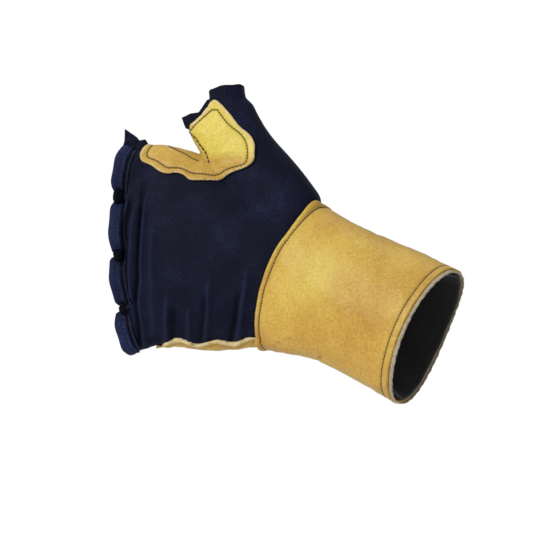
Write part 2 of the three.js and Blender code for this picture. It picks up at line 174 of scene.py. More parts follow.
# Stitch lines of the web patch that don't follow its outline.
VEE_SEAM = ((0.623, 0.705), (0.581, 0.676), (0.549, 0.638), (0.516, 0.607), (0.492, 0.558))
LOBE_SEAM = ((0.751, 0.6425), (0.693, 0.62), (0.634, 0.598), (0.591, 0.5755), (0.559, 0.5655))
PATCH_STITCHES = (
    (0.623, 0.712), (0.586, 0.74), (0.543, 0.772), (0.458, 0.835), (0.399, 0.772), (0.377, 0.75),
    (0.342, 0.726), (0.298, 0.7), (0.267, 0.668), (0.25, 0.627), (0.25, 0.562), (0.275, 0.54),
    (0.335, 0.531), (0.383, 0.5175), (0.414, 0.4995), (0.447, 0.4885), (0.521, 0.499), (0.581, 0.4995),
    (0.623, 0.5175), (0.655, 0.5285), (0.698, 0.5285), (0.735, 0.5285), (0.773, 0.549), (0.805, 0.567),
    (0.853, 0.58), (0.866, 0.5935), (0.863, 0.6155), (0.845, 0.6425),
)


# Sizes and colours that a user would change

class GloveSizes(bpy.types.PropertyGroup):
    cuff_length: bpy.props.FloatProperty(
        name="Cuff length", description="Cuff from its mouth to its hand edge",
        default=0.0885, unit="LENGTH")
    cuff_width: bpy.props.FloatProperty(
        name="Cuff width", description="Across the wrist, outside the leather",
        default=0.0775, unit="LENGTH")
    cuff_depth: bpy.props.FloatProperty(
        name="Cuff depth", description="From back to palm, outside the leather",
        default=0.054, unit="LENGTH")
    arm_drop: bpy.props.FloatProperty(
        name="Arm drop", description="Forearm below level",
        default=math.radians(24.7), subtype="ANGLE")
    arm_tilt: bpy.props.FloatProperty(
        name="Arm tilt", description="Forearm towards the viewer",
        default=math.radians(26), subtype="ANGLE")
    edge_bow: bpy.props.FloatProperty(
        name="Edge bow", description="How far the cuff's hand edge bows over the hand",
        default=0.005, unit="LENGTH")
    mouth_bow: bpy.props.FloatProperty(
        name="Mouth bow", description="How far the cuff's mouth is cut back in its middle",
        default=0.0026, unit="LENGTH")
    palm_length: bpy.props.FloatProperty(
        name="Palm length", description="Wrist to finger webs",
        default=0.0933, unit="LENGTH")
    palm_width: bpy.props.FloatProperty(
        name="Palm width", description="Measure for the rows of the palm",
        default=0.11, unit="LENGTH")
    palm_depth: bpy.props.FloatProperty(
        name="Palm depth", description="Back to palm",
        default=0.035, unit="LENGTH")
    hand_turn: bpy.props.FloatProperty(
        name="Hand turn", description="Fingers away from the viewer",
        default=math.radians(10), subtype="ANGLE")
    thumb_reach: bpy.props.FloatProperty(
        name="Thumb reach", description="Wrist to the thumb's opening",
        default=0.1014, unit="LENGTH")
    thumb_depth: bpy.props.FloatProperty(
        name="Thumb depth", description="Back to palm at the web",
        default=0.025, unit="LENGTH")
    thumb_set_back: bpy.props.FloatProperty(
        name="Thumb set back", description="Thumb's end towards the palm",
        default=0.003, unit="LENGTH")
    finger_width: bpy.props.FloatProperty(
        name="Finger width", description="Middle finger's opening",
        default=0.0286, unit="LENGTH")
    finger_depth: bpy.props.FloatProperty(
        name="Finger depth", description="Middle finger's opening",
        default=0.024, unit="LENGTH")
    stall_length: bpy.props.FloatProperty(
        name="Finger sleeve", description="Opening to where the sleeve joins the palm",
        default=0.024, unit="LENGTH")
    hem_width: bpy.props.FloatProperty(
        name="Hem width", description="Turned hem of an opening",
        default=0.0068, unit="LENGTH")
    scallop: bpy.props.FloatProperty(
        name="Scallop", description="How far an opening's edge bows out",
        default=0.0016, unit="LENGTH")
    fabric_wall: bpy.props.FloatProperty(
        name="Fabric", description="Thickness of the knit",
        default=0.0013, unit="LENGTH")
    leather_wall: bpy.props.FloatProperty(
        name="Leather", description="Thickness of the leather",
        default=0.0016, unit="LENGTH")
    lining_wall: bpy.props.FloatProperty(
        name="Lining", description="Thickness of the lining",
        default=0.0013, unit="LENGTH")
    gap: bpy.props.FloatProperty(
        name="Gap", description="Between one layer and the next",
        default=0.0003, unit="LENGTH")
    patch_wrap: bpy.props.FloatProperty(
        name="Patch wrap", description="How far the patch folds over the web's edge",
        default=0.007, unit="LENGTH")
    stitch_pitch: bpy.props.FloatProperty(
        name="Stitch pitch", description="From one leather stitch to the next",
        default=0.0018, unit="LENGTH")


class GloveColours(bpy.types.PropertyGroup):
    navy: bpy.props.FloatVectorProperty(
        name="Navy knit", description="Dark of the back's knit", size=3, subtype="COLOR",
        default=(0.0057, 0.007, 0.0182))
    hem: bpy.props.FloatVectorProperty(
        name="Hem knit", description="Heathered binding", size=3, subtype="COLOR",
        default=(0.0118, 0.0165, 0.052))
    leather: bpy.props.FloatVectorProperty(
        name="Leather", description="Middle of the golden leather", size=3, subtype="COLOR",
        default=(0.55, 0.345, 0.053))
    raw_edge: bpy.props.FloatVectorProperty(
        name="Raw edge", description="Cut edge of the leather", size=3, subtype="COLOR",
        default=(0.63, 0.51, 0.27))
    lining: bpy.props.FloatVectorProperty(
        name="Lining", description="Black lining", size=3, subtype="COLOR",
        default=(0.006, 0.006, 0.007))
    backdrop: bpy.props.FloatVectorProperty(
        name="Backdrop", description="Paper floor", size=3, subtype="COLOR",
        default=(0.92, 0.92, 0.92))


def sizes():
    """The glove's sizes as the user has set them."""
    return bpy.context.scene.glove_sizes


def colours():
    """The glove's colours as the user has set them."""
    return bpy.context.scene.glove_colours


# Frames, tables and rings

# How round a section is: 1 is an ellipse, and less is a fuller oval.
FULLNESS = 0.78


def arm_frame():
    """The forearm's frame, with the cuff's mouth at its origin and -X towards the hand."""
    size = sizes()
    return Matrix.Rotation(size.arm_drop, 4, "Y") @ Matrix.Rotation(-size.arm_tilt, 4, "Z")


def hand_frame():
    """The hand's frame: from the wrist -X runs to the fingers, -Y out of the back and Z to the thumb."""
    size = sizes()
    wrist = arm_frame() @ Vector((-size.cuff_length, 0, 0))
    return Matrix.Translation(wrist) @ Matrix.Rotation(-size.hand_turn, 4, "Z")


def digit_frame(digit):
    """An opening's frame, with X running in along its sleeve."""
    size = sizes()
    place = Matrix.Translation((
        -digit["along"] * size.palm_length,
        size.thumb_set_back if digit["name"] == "thumb" else 0,
        digit["up"] * size.palm_width,
    ))
    return hand_frame() @ place @ Matrix.Rotation(math.radians(digit["points"]), 4, "Y")


def placed(points, matrix):
    """Points (N, 3) carried by a matrix."""
    m = np.array(matrix)
    return np.asarray(points) @ m[:3, :3].T + m[:3, 3]


def turns(count):
    """Angles of a ring's points, once round."""
    return np.arange(count) / count * 2 * math.pi


def table_curve(rows, key, column, at):
    """A smooth curve through a table's column, with the slopes of its neighbours."""
    x = np.array([row[key] for row in rows], float)
    y = np.array([row[column] for row in rows], float)
    slope = np.gradient(y, x)
    at = np.clip(np.asarray(at, float), x[0], x[-1])
    low = np.clip(np.searchsorted(x, at, side="right") - 1, 0, len(x) - 2)
    span = x[low + 1] - x[low]
    t = (at - x[low]) / span
    return (
        (1 + 2 * t) * (1 - t) ** 2 * y[low]
        + t * (1 - t) ** 2 * span * slope[low]
        + t * t * (3 - 2 * t) * y[low + 1]
        + t * t * (t - 1) * span * slope[low + 1]
    )


def round_section(count):
    """Unit coordinates round a full oval section: across and depth."""
    angle = turns(count)
    depth = np.sign(np.sin(angle)) * np.abs(np.sin(angle)) ** FULLNESS
    return np.cos(angle), depth


def palm_rings(grow, stations, facets):
    """Rings of the palm's form, from the wrist to the webs."""
    size = sizes()
    across, depth = round_section(facets)
    rings = []
    for reach in stations:
        top = table_curve(PALM, "reach", "top", reach) * size.palm_width
        bottom = table_curve(PALM, "reach", "bottom", reach) * size.palm_width
        deep = table_curve(PALM, "reach", "depth", reach) * size.palm_depth / 2 + grow
        up = (top + bottom) / 2 + ((top - bottom) / 2 + grow) * across
        rings.append(np.stack([np.full(facets, -reach * size.palm_length), deep * depth, up], 1))
    return [placed(ring, hand_frame()) for ring in rings]


def thumb_rings(grow, stations, facets):
    """Level rings of the thumb's form, flatter towards the web."""
    size = sizes()
    across, depth = round_section(facets)
    webbing = 1 - 0.3 * (1 - across) / 2
    rings = []
    for rise in stations:
        inner = -table_curve(THUMB, "rise", "inner", rise) * size.palm_length - grow
        outer = -table_curve(THUMB, "rise", "outer", rise) * size.palm_length + grow
        deep = table_curve(THUMB, "rise", "depth", rise) * size.thumb_depth / 2 + grow
        share = min(max((rise - 0.5) / 0.4, 0), 1)
        back = size.thumb_set_back * share * share * (3 - 2 * share)
        rings.append(np.stack([
            (inner + outer) / 2 + (outer - inner) / 2 * across,
            back + deep * depth * webbing,
            np.full(facets, rise * size.thumb_reach),
        ], 1))
    return [placed(ring, hand_frame()) for ring in rings]


def digit_ring(digit, grow, x, facets):
    """A ring of a digit's sleeve, where x runs in from the open edge."""
    size = sizes()
    across, depth = round_section(facets)
    inside = min(max(x / size.stall_length, 0), 1)
    half = digit["width"] * size.finger_width / 2 * (1 - 0.1 * inside) + grow
    deep = digit["depth"] * size.finger_depth / 2 * (1 - 0.16 * inside) + grow
    bow = size.scallop * (0.5 - np.abs(depth))
    ring = np.stack([x + bow, deep * depth, half * across], 1)
    return placed(ring, digit_frame(digit))


def opening_ring(digit, facets):
    """A digit's open edge in the digit's own frame, where X runs in along the sleeve."""
    return placed(digit_ring(digit, 0, 0, facets), digit_frame(digit).inverted())


def wrist_ring(grow, along, facets):
    """A ring round the wrist in the forearm's own frame; the table holds the leather's outer face."""
    size = sizes()
    across, depth = round_section(facets)
    half = table_curve(WRIST, "along", "half", along) * size.cuff_width / 2 + grow
    shift = table_curve(WRIST, "along", "shift", along) * size.cuff_width
    deep = table_curve(WRIST, "along", "depth", along) * size.cuff_depth / 2 + grow
    return np.stack([np.full(facets, -along * size.cuff_length), deep * depth, shift + half * across], 1)


# Meshes

def mesh_from(name, points, faces):
    mesh = bpy.data.meshes.new(name)
    mesh.from_pydata([tuple(p) for p in points], [], [tuple(f) for f in faces])
    mesh.validate()
    return mesh


def band_faces(from_start, to_start, count):
    """Faces between two closed rings of points."""
    return [
        (from_start + k, from_start + (k + 1) % count, to_start + (k + 1) % count, to_start + k)
        for k in range(count)
    ]


def loft_parts(rings, caps=True):
    """Points and faces of a stack of rings, with its ends filled where caps is true."""
    count = len(rings[0])
    points = np.concatenate(rings)
    faces = []
    for r in range(len(rings) - 1):
        faces += band_faces(r * count, (r + 1) * count, count)
    if caps:
        faces.append(tuple(range(count)))
        faces.append(tuple(len(points) - count + k for k in reversed(range(count))))
    return points, faces


def pushed_out(rings, lift):
    """Rings round their own X axis, with each point moved out from it by its lift."""
    radius = np.linalg.norm(rings[..., 1:], axis=-1)
    rings[..., 1:] *= ((radius + lift) / radius)[..., None]
    return rings


def new_piece(name, data):
    piece = bpy.data.objects.new(name, data)
    bpy.context.scene.collection.objects.link(piece)
    return piece


def object_from(name, points, faces):
    mesh = mesh_from(name, points, faces)
    face_outwards(mesh)
    return new_piece(name, mesh)


def face_outwards(mesh):
    bm = bmesh.new()
    bm.from_mesh(mesh)
    bmesh.ops.remove_doubles(bm, verts=bm.verts, dist=1e-7)
    bmesh.ops.recalc_face_normals(bm, faces=bm.faces)
    bm.to_mesh(mesh)
    bm.free()


def applied(piece):
    """The piece with its modifiers made part of its mesh."""
    bpy.context.view_layer.update()
    evaluated = piece.evaluated_get(bpy.context.evaluated_depsgraph_get())
    mesh = bpy.data.meshes.new_from_object(evaluated)
    old = piece.data
    piece.modifiers.clear()
    piece.data = mesh
    bpy.data.meshes.remove(old)
    return piece


def remeshed(piece, voxel, smooth):
    """The piece as one closed skin of even faces, softened by a few rounds."""
    step = piece.modifiers.new("voxels", "REMESH")
    step.mode = "VOXEL"
    step.voxel_size = voxel
    step.use_smooth_shade = True
    soften = piece.modifiers.new("soften", "SMOOTH")
    soften.factor = 0.5
    soften.iterations = smooth
    return applied(piece)


def thickened(piece, wall, offset=-1):
    """The piece given its wall: inwards, or outwards where the offset is 1."""
    step = piece.modifiers.new("wall", "SOLIDIFY")
    step.thickness = wall
    step.offset = offset
    return applied(piece)


def points_of(mesh):
    points = np.empty(len(mesh.vertices) * 3)
    mesh.vertices.foreach_get("co", points)
    return points.reshape(-1, 3)


def normals_of(mesh):
    normals = np.empty(len(mesh.vertices) * 3)
    mesh.vertex_normals.foreach_get("vector", normals)
    return normals.reshape(-1, 3)


def set_points(mesh, points):
    mesh.vertices.foreach_set("co", np.asarray(points, float).ravel())
    mesh.update()


def set_attribute(mesh, name, values):
    layer = mesh.attributes.new(name, "FLOAT", "POINT")
    layer.data.foreach_set("value", np.asarray(values, float))


def tree_of(mesh):
    bm = bmesh.new()
    bm.from_mesh(mesh)
    tree = BVHTree.FromBMesh(bm)
    bm.free()
    return tree


def in_hand(points):
    """World points in the hand's own frame."""
    return placed(points, hand_frame().inverted())


def outline_in_hand(outline):
    """An outline in the hand's X and Z, from its shares of the palm's length and width."""
    size = sizes()
    return np.array([(-along * size.palm_length, up * size.palm_width) for along, up in outline])


def nearest_on_route(flat, route, closed=False):
    """For flat points (N, 2): distance to a route, share of the way along it, and its nearest point."""
    route = np.asarray(route, float)
    ends = np.roll(route, -1, axis=0) if closed else route[1:]
    starts = route if closed else route[:-1]
    lengths = np.linalg.norm(ends - starts, axis=1)
    done = np.concatenate([[0], np.cumsum(lengths)])
    best = np.full(len(flat), 1e9)
    share = np.zeros(len(flat))
    nearest = np.zeros((len(flat), 2))
    for start, end, length, before in zip(starts, ends, lengths, done):
        t = np.clip(((flat - start) @ (end - start)) / length ** 2, 0, 1)
        foot = start + t[:, None] * (end - start)
        away = np.linalg.norm(flat - foot, axis=1)
        nearer = away < best
        best = np.where(nearer, away, best)
        share = np.where(nearer, (before + t * length) / done[-1], share)
        nearest = np.where(nearer[:, None], foot, nearest)
    return best, share, nearest


def distance_to_route(flat, route, closed=False):
    return nearest_on_route(flat, route, closed)[:2]


def inside_outline(flat, outline):
    """Whether flat points lie inside a closed outline."""
    inside = np.zeros(len(flat), bool)
    for (ax, az), (bx, bz) in zip(outline, np.roll(outline, -1, axis=0)):
        crosses = (az > flat[:, 1]) != (bz > flat[:, 1])
        at = ax + (flat[:, 1] - az) / np.where(bz == az, 1e-12, bz - az) * (bx - ax)
        inside ^= crosses & (flat[:, 0] < at)
    return inside


def heading(degrees):
    """A unit step in the hand's X and Z."""
    turn = math.radians(degrees)
    return np.array([math.cos(turn), math.sin(turn)])


def soft_noise(points, scale, seed=0.0):
    """A smooth value from -1 to 1 at each point, from a few crossing waves."""
    total = np.zeros(len(points))
    for k in range(5):
        angle = 1.7 * k + seed
        direction = np.array([math.cos(angle), math.sin(1.3 * angle + 1), math.sin(angle)])
        direction = direction / np.linalg.norm(direction)
        total += np.sin(points @ direction * scale * (1 + 0.27 * k) + 2.1 * k + seed)
        points = points + 0.35 / scale * np.stack([
            np.sin(points[:, 1] * scale), np.sin(points[:, 2] * scale), np.sin(points[:, 0] * scale)], 1)
    return total / 3


# The worn form that every layer follows

FORM_VOXEL = 0.00105
SOFTENING_LOSS = 0.0002

# The folds' listed heights are multiplied by this strength, and a listed height of FULL_FOLD gets its
# full painted highlight on a ridge and its full painted shade in a groove.
FULL_FOLD = 1.1
FOLD_STRENGTH = 2.3

# Small pleats that fan out of each gather: angles in degrees, height and width in metres.
FAN_ANGLES = (-62, -35, -12, 14, 40, 64)
FAN_HEIGHT = 0.00055
FAN_WIDTH = 0.0009

# How far the binding's seam reaches behind a finger hem, and how far the wrist lies in the cuff.
SEAM_REACH = 0.005
UNDER_LEATHER = 0.0018

# The form, and the finished leather that other pieces lie on.
FORM_CACHE = {}


def fold_lift(points, normals):
    """How far the knit's folds stand out of the back, and how much of a ridge or groove each point is:
    the weights of the painted highlight on ridges and of the painted shade in grooves.
    """
    size = sizes()
    flat = in_hand(points)[:, [0, 2]]
    flat = flat + 0.0009 * np.column_stack([soft_noise(points, 110), soft_noise(points, 150, 5.0)])
    facing = np.clip(-normals[:, 1], 0, 1) ** 0.5
    lift = np.zeros(len(points))
    ridge, groove = np.zeros(len(points)), np.zeros(len(points))
    for fold in FOLDS:
        away, share = distance_to_route(flat, outline_in_hand(fold["route"]))
        fade = np.clip(np.minimum(share, 1 - share * 0.75) / 0.22, 0, 1)
        full = fade * np.exp(-(away / (fold["width"] * MILLIMETRE)) ** 2) * fold["height"] / FULL_FOLD
        lift += FOLD_STRENGTH * FULL_FOLD * MILLIMETRE * full
        ridge, groove = np.maximum(ridge, full), np.maximum(groove, -full)
    for gather in GATHERS:
        centre = np.array([-gather["along"] * size.palm_length + 0.003, gather["up"] * size.palm_width])
        for k, angle in enumerate(FAN_ANGLES):
            end = centre + (0.011 + 0.003 * (k % 2)) * heading(angle)
            away, share = distance_to_route(flat, np.array([centre, end]))
            fan = (1 - share) * np.exp(-(away / FAN_WIDTH) ** 2)
            lift += FAN_HEIGHT * fan
            # Painted highlight on each pleat, at half strength.
            ridge = np.maximum(ridge, 0.5 * fan)
    return lift * facing, ridge * facing, groove * facing


def past_hem(points):
    """Distance behind the nearest finger hem, where 1 is SEAM_REACH away or more."""
    size = sizes()
    near = np.ones(len(points))
    for digit in FINGERS:
        local = placed(points, digit_frame(digit).inverted())
        ring = opening_ring(digit, 64)
        back = ring[ring[:, 1] < 0]
        back = back[np.argsort(back[:, 2])]
        half = np.ptp(ring[:, 2]) / 2
        edge = size.hem_width + np.interp(local[:, 2], back[:, 2], back[:, 0])
        gap = (local[:, 0] - edge) / SEAM_REACH
        inside = (np.abs(local[:, 2]) < half + 0.001) & (gap > -0.2)
        near = np.where(inside, np.minimum(near, np.clip(gap, 0, 1)), near)
    return near


def hand_form():
    """The closed outer form of the worn knit, made once."""
    if "mesh" in FORM_CACHE:
        return FORM_CACHE["mesh"]
    size = sizes()
    skin = -size.gap - UNDER_LEATHER
    stacks = [
        palm_rings(0, np.linspace(PALM[0]["reach"], PALM[-1]["reach"], 60), 96),
        thumb_rings(0, np.linspace(THUMB[0]["rise"], THUMB[-1]["rise"], 54), 72),
        [placed(wrist_ring(skin, along, 96), arm_frame()) for along in np.linspace(0.74, 1.2, 20)],
    ]
    for digit in DIGITS:
        stacks.append([digit_ring(digit, 0, x, 56) for x in np.linspace(-0.005, size.stall_length, 14)])
    points, faces = [], []
    for rings in stacks:
        more, more_faces = loft_parts(rings)
        start = sum(len(p) for p in points)
        points.append(more)
        faces += [tuple(start + v for v in face) for face in more_faces]
    form = object_from("worn_form", np.concatenate(points), faces)
    remeshed(form, FORM_VOXEL, smooth=20)
    mesh = form.data
    points, normals = points_of(mesh), normals_of(mesh)
    lift, ridge, groove = fold_lift(points, normals)
    set_points(mesh, points + normals * (lift[:, None] + SOFTENING_LOSS))
    bpy.data.objects.remove(form)
    # Weights of the painted highlight on the folds' ridges and the painted shade in their grooves.
    set_attribute(mesh, "ridge", np.clip(ridge, 0, 1))
    set_attribute(mesh, "groove", np.clip(groove, 0, 1))
    set_attribute(mesh, "past_hem", past_hem(points))
    FORM_CACHE["mesh"] = mesh
    FORM_CACHE["tree"] = tree_of(mesh)
    return mesh


def form_tree():
    hand_form()
    return FORM_CACHE["tree"]


def kept_part(mesh, keep):
    """A copy of a mesh with only the faces whose corners all pass."""
    bm = bmesh.new()
    bm.from_mesh(mesh)
    bm.verts.ensure_lookup_table()
    lost = [v for v, stays in zip(bm.verts, keep) if not stays]
    bmesh.ops.delete(bm, geom=lost, context="VERTS")
    copy = bpy.data.meshes.new(mesh.name)
    bm.to_mesh(copy)
    bm.free()
    return copy


def largest_island(mesh):
    """Keeps only the biggest connected part, so that no crumbs stay."""
    bm = bmesh.new()
    bm.from_mesh(mesh)
    left = set(bm.verts)
    islands = []
    while left:
        seed = left.pop()
        island, edge = {seed}, [seed]
        while edge:
            vert = edge.pop()
            for link in vert.link_edges:
                other = link.other_vert(vert)
                if other in left:
                    left.remove(other)
                    island.add(other)
                    edge.append(other)
        islands.append(island)
    islands.sort(key=len)
    crumbs = [v for island in islands[:-1] for v in island]
    bmesh.ops.delete(bm, geom=crumbs, context="VERTS")
    bm.to_mesh(mesh)
    bm.free()


# Materials

def shader_node(tree, kind, **settings):
    node = tree.nodes.new(kind)
    for name, value in settings.items():
        setattr(node, name, value)
    return node


def joined(tree, source, target):
    tree.links.new(source, target)


def new_material(name):
    material = bpy.data.materials.new(name)
    material.use_nodes = True
    tree = material.node_tree
    shader = tree.nodes["Principled BSDF"]
    return material, tree, shader


def own_coords(tree):
    return shader_node(tree, "ShaderNodeTexCoord").outputs["Object"]


def painted(tree, name):
    """A value that is painted on the mesh."""
    return shader_node(tree, "ShaderNodeAttribute", attribute_name=name).outputs["Fac"]


def cells(tree, coords, scale, feature="F1"):
    """Distances in a pattern of cells."""
    node = shader_node(tree, "ShaderNodeTexVoronoi", feature=feature)
    node.inputs["Scale"].default_value = scale
    joined(tree, coords, node.inputs["Vector"])
    return node.outputs["Distance"]


def waves(tree, coords, direction, **settings):
    """Bands across a direction, with the wave texture's inputs by name."""
    node = shader_node(tree, "ShaderNodeTexWave", bands_direction=direction)
    for name, value in settings.items():
        node.inputs[name.replace("_", " ").title()].default_value = value
    joined(tree, coords, node.inputs["Vector"])
    return node.outputs["Fac"]


def noise_value(tree, coords, scale, detail=3.0, rough=0.55):
    node = shader_node(tree, "ShaderNodeTexNoise")
    node.inputs["Scale"].default_value = scale
    node.inputs["Detail"].default_value = detail
    node.inputs["Roughness"].default_value = rough
    joined(tree, coords, node.inputs["Vector"])
    return node.outputs["Fac"]


def ramp(tree, value, stops):
    node = shader_node(tree, "ShaderNodeValToRGB")
    while len(node.color_ramp.elements) < len(stops):
        node.color_ramp.elements.new(0.5)
    for element, (place, colour) in zip(node.color_ramp.elements, stops):
        element.position = place
        element.color = (*colour, 1)
    joined(tree, value, node.inputs["Fac"])
    return node.outputs["Color"]


def mixed(tree, share, first, second, blend="MIX"):
    node = shader_node(tree, "ShaderNodeMix", data_type="RGBA", blend_type=blend)
    for socket, value in ((node.inputs[0], share), (node.inputs[6], first), (node.inputs[7], second)):
        if isinstance(value, bpy.types.NodeSocket):
            joined(tree, value, socket)
        else:
            socket.default_value = value if isinstance(value, float) else (*value, 1)
    return node.outputs[2]


def math_node(tree, operation, first, second):
    node = shader_node(tree, "ShaderNodeMath", operation=operation)
    for socket, value in zip(node.inputs, (first, second)):
        if isinstance(value, bpy.types.NodeSocket):
            joined(tree, value, socket)
        else:
            socket.default_value = value
    return node.outputs[0]


def times(tree, first, second):
    return math_node(tree, "MULTIPLY", first, second)


def plus(tree, first, second):
    return math_node(tree, "ADD", first, second)


def bumped(tree, shader, height, strength, distance):
    node = shader_node(tree, "ShaderNodeBump")
    node.inputs["Strength"].default_value = strength
    node.inputs["Distance"].default_value = distance
    joined(tree, height, node.inputs["Height"])
    joined(tree, node.outputs["Normal"], shader.inputs["Normal"])


def scaled(colour, factor):
    return tuple(min(1.0, channel * factor) for channel in colour)


# Painted highlight and painted shade in lines along the binding's seam behind a finger hem, from the hem
# back: darker in the seam's valleys, lighter on its raised bands.
SEAM_LIGHT_AND_SHADE = (
    (0.0, 1), (0.08, 0.08), (0.2, 0.08), (0.3, 1.9), (0.42, 1.9),
    (0.52, 0.1), (0.64, 0.1), (0.78, 1.2), (1.0, 1),
)
# Colour of the painted shadow along the stitch lines, also used for the cuff's dark speck.
SEAM_SHADOW_AND_SPECK = (0.09, 0.05, 0.012)
# Colour of the painted shade in creases, on the index lobe and under the palm's lap.
SHADE_BROWN = (0.2, 0.1, 0.02)
# Yellow of the painted highlight.
HIGHLIGHT_YELLOW = (0.7, 0.59, 0.1)
# Tint of the painted shade on the cuff's low side.
LOW_SIDE_SHADE_TINT = (0.97, 0.82, 0.78)


def knit_material(name, colour, light, speck):
    """Fine stretch knit: ribs under a millimetre, heathered yarn and a few pale specks of lint, with
    painted highlight on fold ridges, painted shade in fold grooves, and painted highlight and shade lines
    along the seam behind each finger hem.
    """
    material, tree, shader = new_material(name)
    coords = own_coords(tree)
    wide = noise_value(tree, coords, 55, 3)
    yarn = noise_value(tree, coords, 1300, 2, 0.7)
    heather = plus(tree, times(tree, wide, 0.45), times(tree, yarn, 0.55))
    base = ramp(tree, heather, ((0.34, scaled(colour, 0.6)), (0.52, tuple(colour)), (0.68, light)))
    spots = ramp(tree, cells(tree, coords, 170), ((0.0, (speck,) * 3), (0.045, (0.0,) * 3)))
    # Painted highlight on the folds' ridges and pleats, painted shade in their grooves.
    base = mixed(tree, times(tree, painted(tree, "ridge"), 0.4), base, scaled(light, 1.5))
    base = mixed(tree, times(tree, painted(tree, "groove"), 0.9), base, scaled(colour, 0.08))
    # Painted shade in the seam's valleys and painted highlight on its raised bands, behind each finger
    # hem.
    seam = ramp(tree, painted(tree, "past_hem"), [(place, (shade,) * 3) for place, shade in SEAM_LIGHT_AND_SHADE])
    base = mixed(tree, 1.0, base, seam, "MULTIPLY")
    joined(tree, mixed(tree, 1.0, base, spots, "ADD"), shader.inputs["Base Color"])
    ribs = waves(tree, coords, "Z", scale=520, distortion=1.5)
    bumped(tree, shader, plus(tree, times(tree, ribs, 0.5), yarn), 0.35, 0.0003)
    shader.inputs["Roughness"].default_value = 0.55
    shader.inputs["Sheen Weight"].default_value = 0.01
    shader.inputs["Sheen Roughness"].default_value = 0.5
    shader.inputs["Sheen Tint"].default_value = (0.35, 0.42, 0.75, 1)
    shader.inputs["Specular IOR Level"].default_value = 0.05
    return material


def leather_material(name, colour, raw):
    """Golden grain leather: mottled dye, pebbled grain, fine creases and a pale raw edge, with painted
    highlight and painted shade.
    """
    material, tree, shader = new_material(name)
    coords = own_coords(tree)
    clouds = noise_value(tree, coords, 24, 3, 0.5)
    mottle = noise_value(tree, coords, 650, 4, 0.7)
    tone = plus(tree, times(tree, clouds, 0.6), times(tree, mottle, 0.4))
    deep = (colour[0] * 0.84, colour[1] * 0.74, colour[2] * 0.66)
    pale = (min(1.0, colour[0] * 1.14), min(1.0, colour[1] * 1.34), min(1.0, colour[2] * 1.6))
    base = ramp(tree, tone, ((0.38, deep), (0.5, tuple(colour)), (0.62, pale)))
    # Painted highlight: the lit back of the cuff and the thumb lobe turn yellower.
    base = mixed(tree, painted(tree, "bright"), base, HIGHLIGHT_YELLOW)
    # Painted shade: the cuff's low side turns darker and redder.
    base = mixed(tree, painted(tree, "warm"), base, LOW_SIDE_SHADE_TINT, "MULTIPLY")
    base = mixed(tree, painted(tree, "edge"), base, tuple(raw))
    # Painted shade in the patch's creases, on its index lobe and under the palm lap's curled edge.
    base = mixed(tree, times(tree, painted(tree, "crease"), 0.45), base, SHADE_BROWN)
    flipped = shader_node(tree, "ShaderNodeMapping")
    flipped.inputs["Scale"].default_value = (-1, 1, 1)
    joined(tree, coords, flipped.inputs["Vector"])
    wrinkles = waves(
        tree, flipped.outputs["Vector"], "DIAGONAL", scale=230, distortion=7, detail=3, detail_scale=1.6)
    # Painted shade in the lines of the worn wrinkles, which are also bumped.
    lines = times(tree, math_node(tree, "POWER", wrinkles, 5.0), painted(tree, "worn"))
    base = mixed(tree, times(tree, lines, 0.3), base, scaled(deep, 0.6))
    # Painted shadow along the stitch lines, and the cuff's dark speck.
    base = mixed(tree, times(tree, painted(tree, "seam"), 0.75), base, SEAM_SHADOW_AND_SPECK)
    grain = cells(tree, coords, 950, "SMOOTH_F1")
    # Painted shade in the grain's valleys.
    valleys = ramp(tree, grain, ((0.25, (1.0, 1.0, 1.0)), (0.9, (0.8, 0.75, 0.7))))
    joined(tree, mixed(tree, 1.0, base, valleys, "MULTIPLY"), shader.inputs["Base Color"])
    fine = noise_value(tree, coords, 900, 4, 0.65)
    wide = noise_value(tree, coords, 150, 3, 0.6)
    cracks = cells(tree, coords, 120, "DISTANCE_TO_EDGE")
    broken = times(tree, math_node(tree, "LESS_THAN", cracks, 0.035), clouds)
    pebbles = math_node(tree, "SUBTRACT", times(tree, grain, -0.8), broken)
    pebbles = math_node(tree, "SUBTRACT", pebbles, times(tree, lines, 1.2))
    bumped(tree, shader, plus(tree, plus(tree, pebbles, times(tree, fine, 0.5)), wide), 0.35, 0.0004)
    shader.inputs["Roughness"].default_value = 0.5
    shader.inputs["Specular IOR Level"].default_value = 0.35
    shader.inputs["Sheen Weight"].default_value = 0.04
    return material


def plain_cloth_material(name, colour, light, scale):
    """A matt fibrous surface, as a lining or the flesh side of leather has."""
    material, tree, shader = new_material(name)
    coords = own_coords(tree)
    fibre = noise_value(tree, coords, scale, 4, 0.7)
    joined(tree, ramp(tree, fibre, ((0.35, tuple(colour)), (0.7, light))), shader.inputs["Base Color"])
    bumped(tree, shader, fibre, 0.5, 0.0004)
    shader.inputs["Roughness"].default_value = 0.92
    shader.inputs["Sheen Weight"].default_value = 0.05
    return material


def thread_material(name):
    """Black sewing thread with its twist."""
    material, tree, shader = new_material(name)
    coords = own_coords(tree)
    twist = noise_value(tree, coords, 2600, 2)
    black = ramp(tree, twist, ((0.3, (0.003, 0.003, 0.003)), (0.7, (0.014, 0.012, 0.01))))
    joined(tree, black, shader.inputs["Base Color"])
    bumped(tree, shader, twist, 0.3, 0.0001)
    shader.inputs["Roughness"].default_value = 0.7
    return material


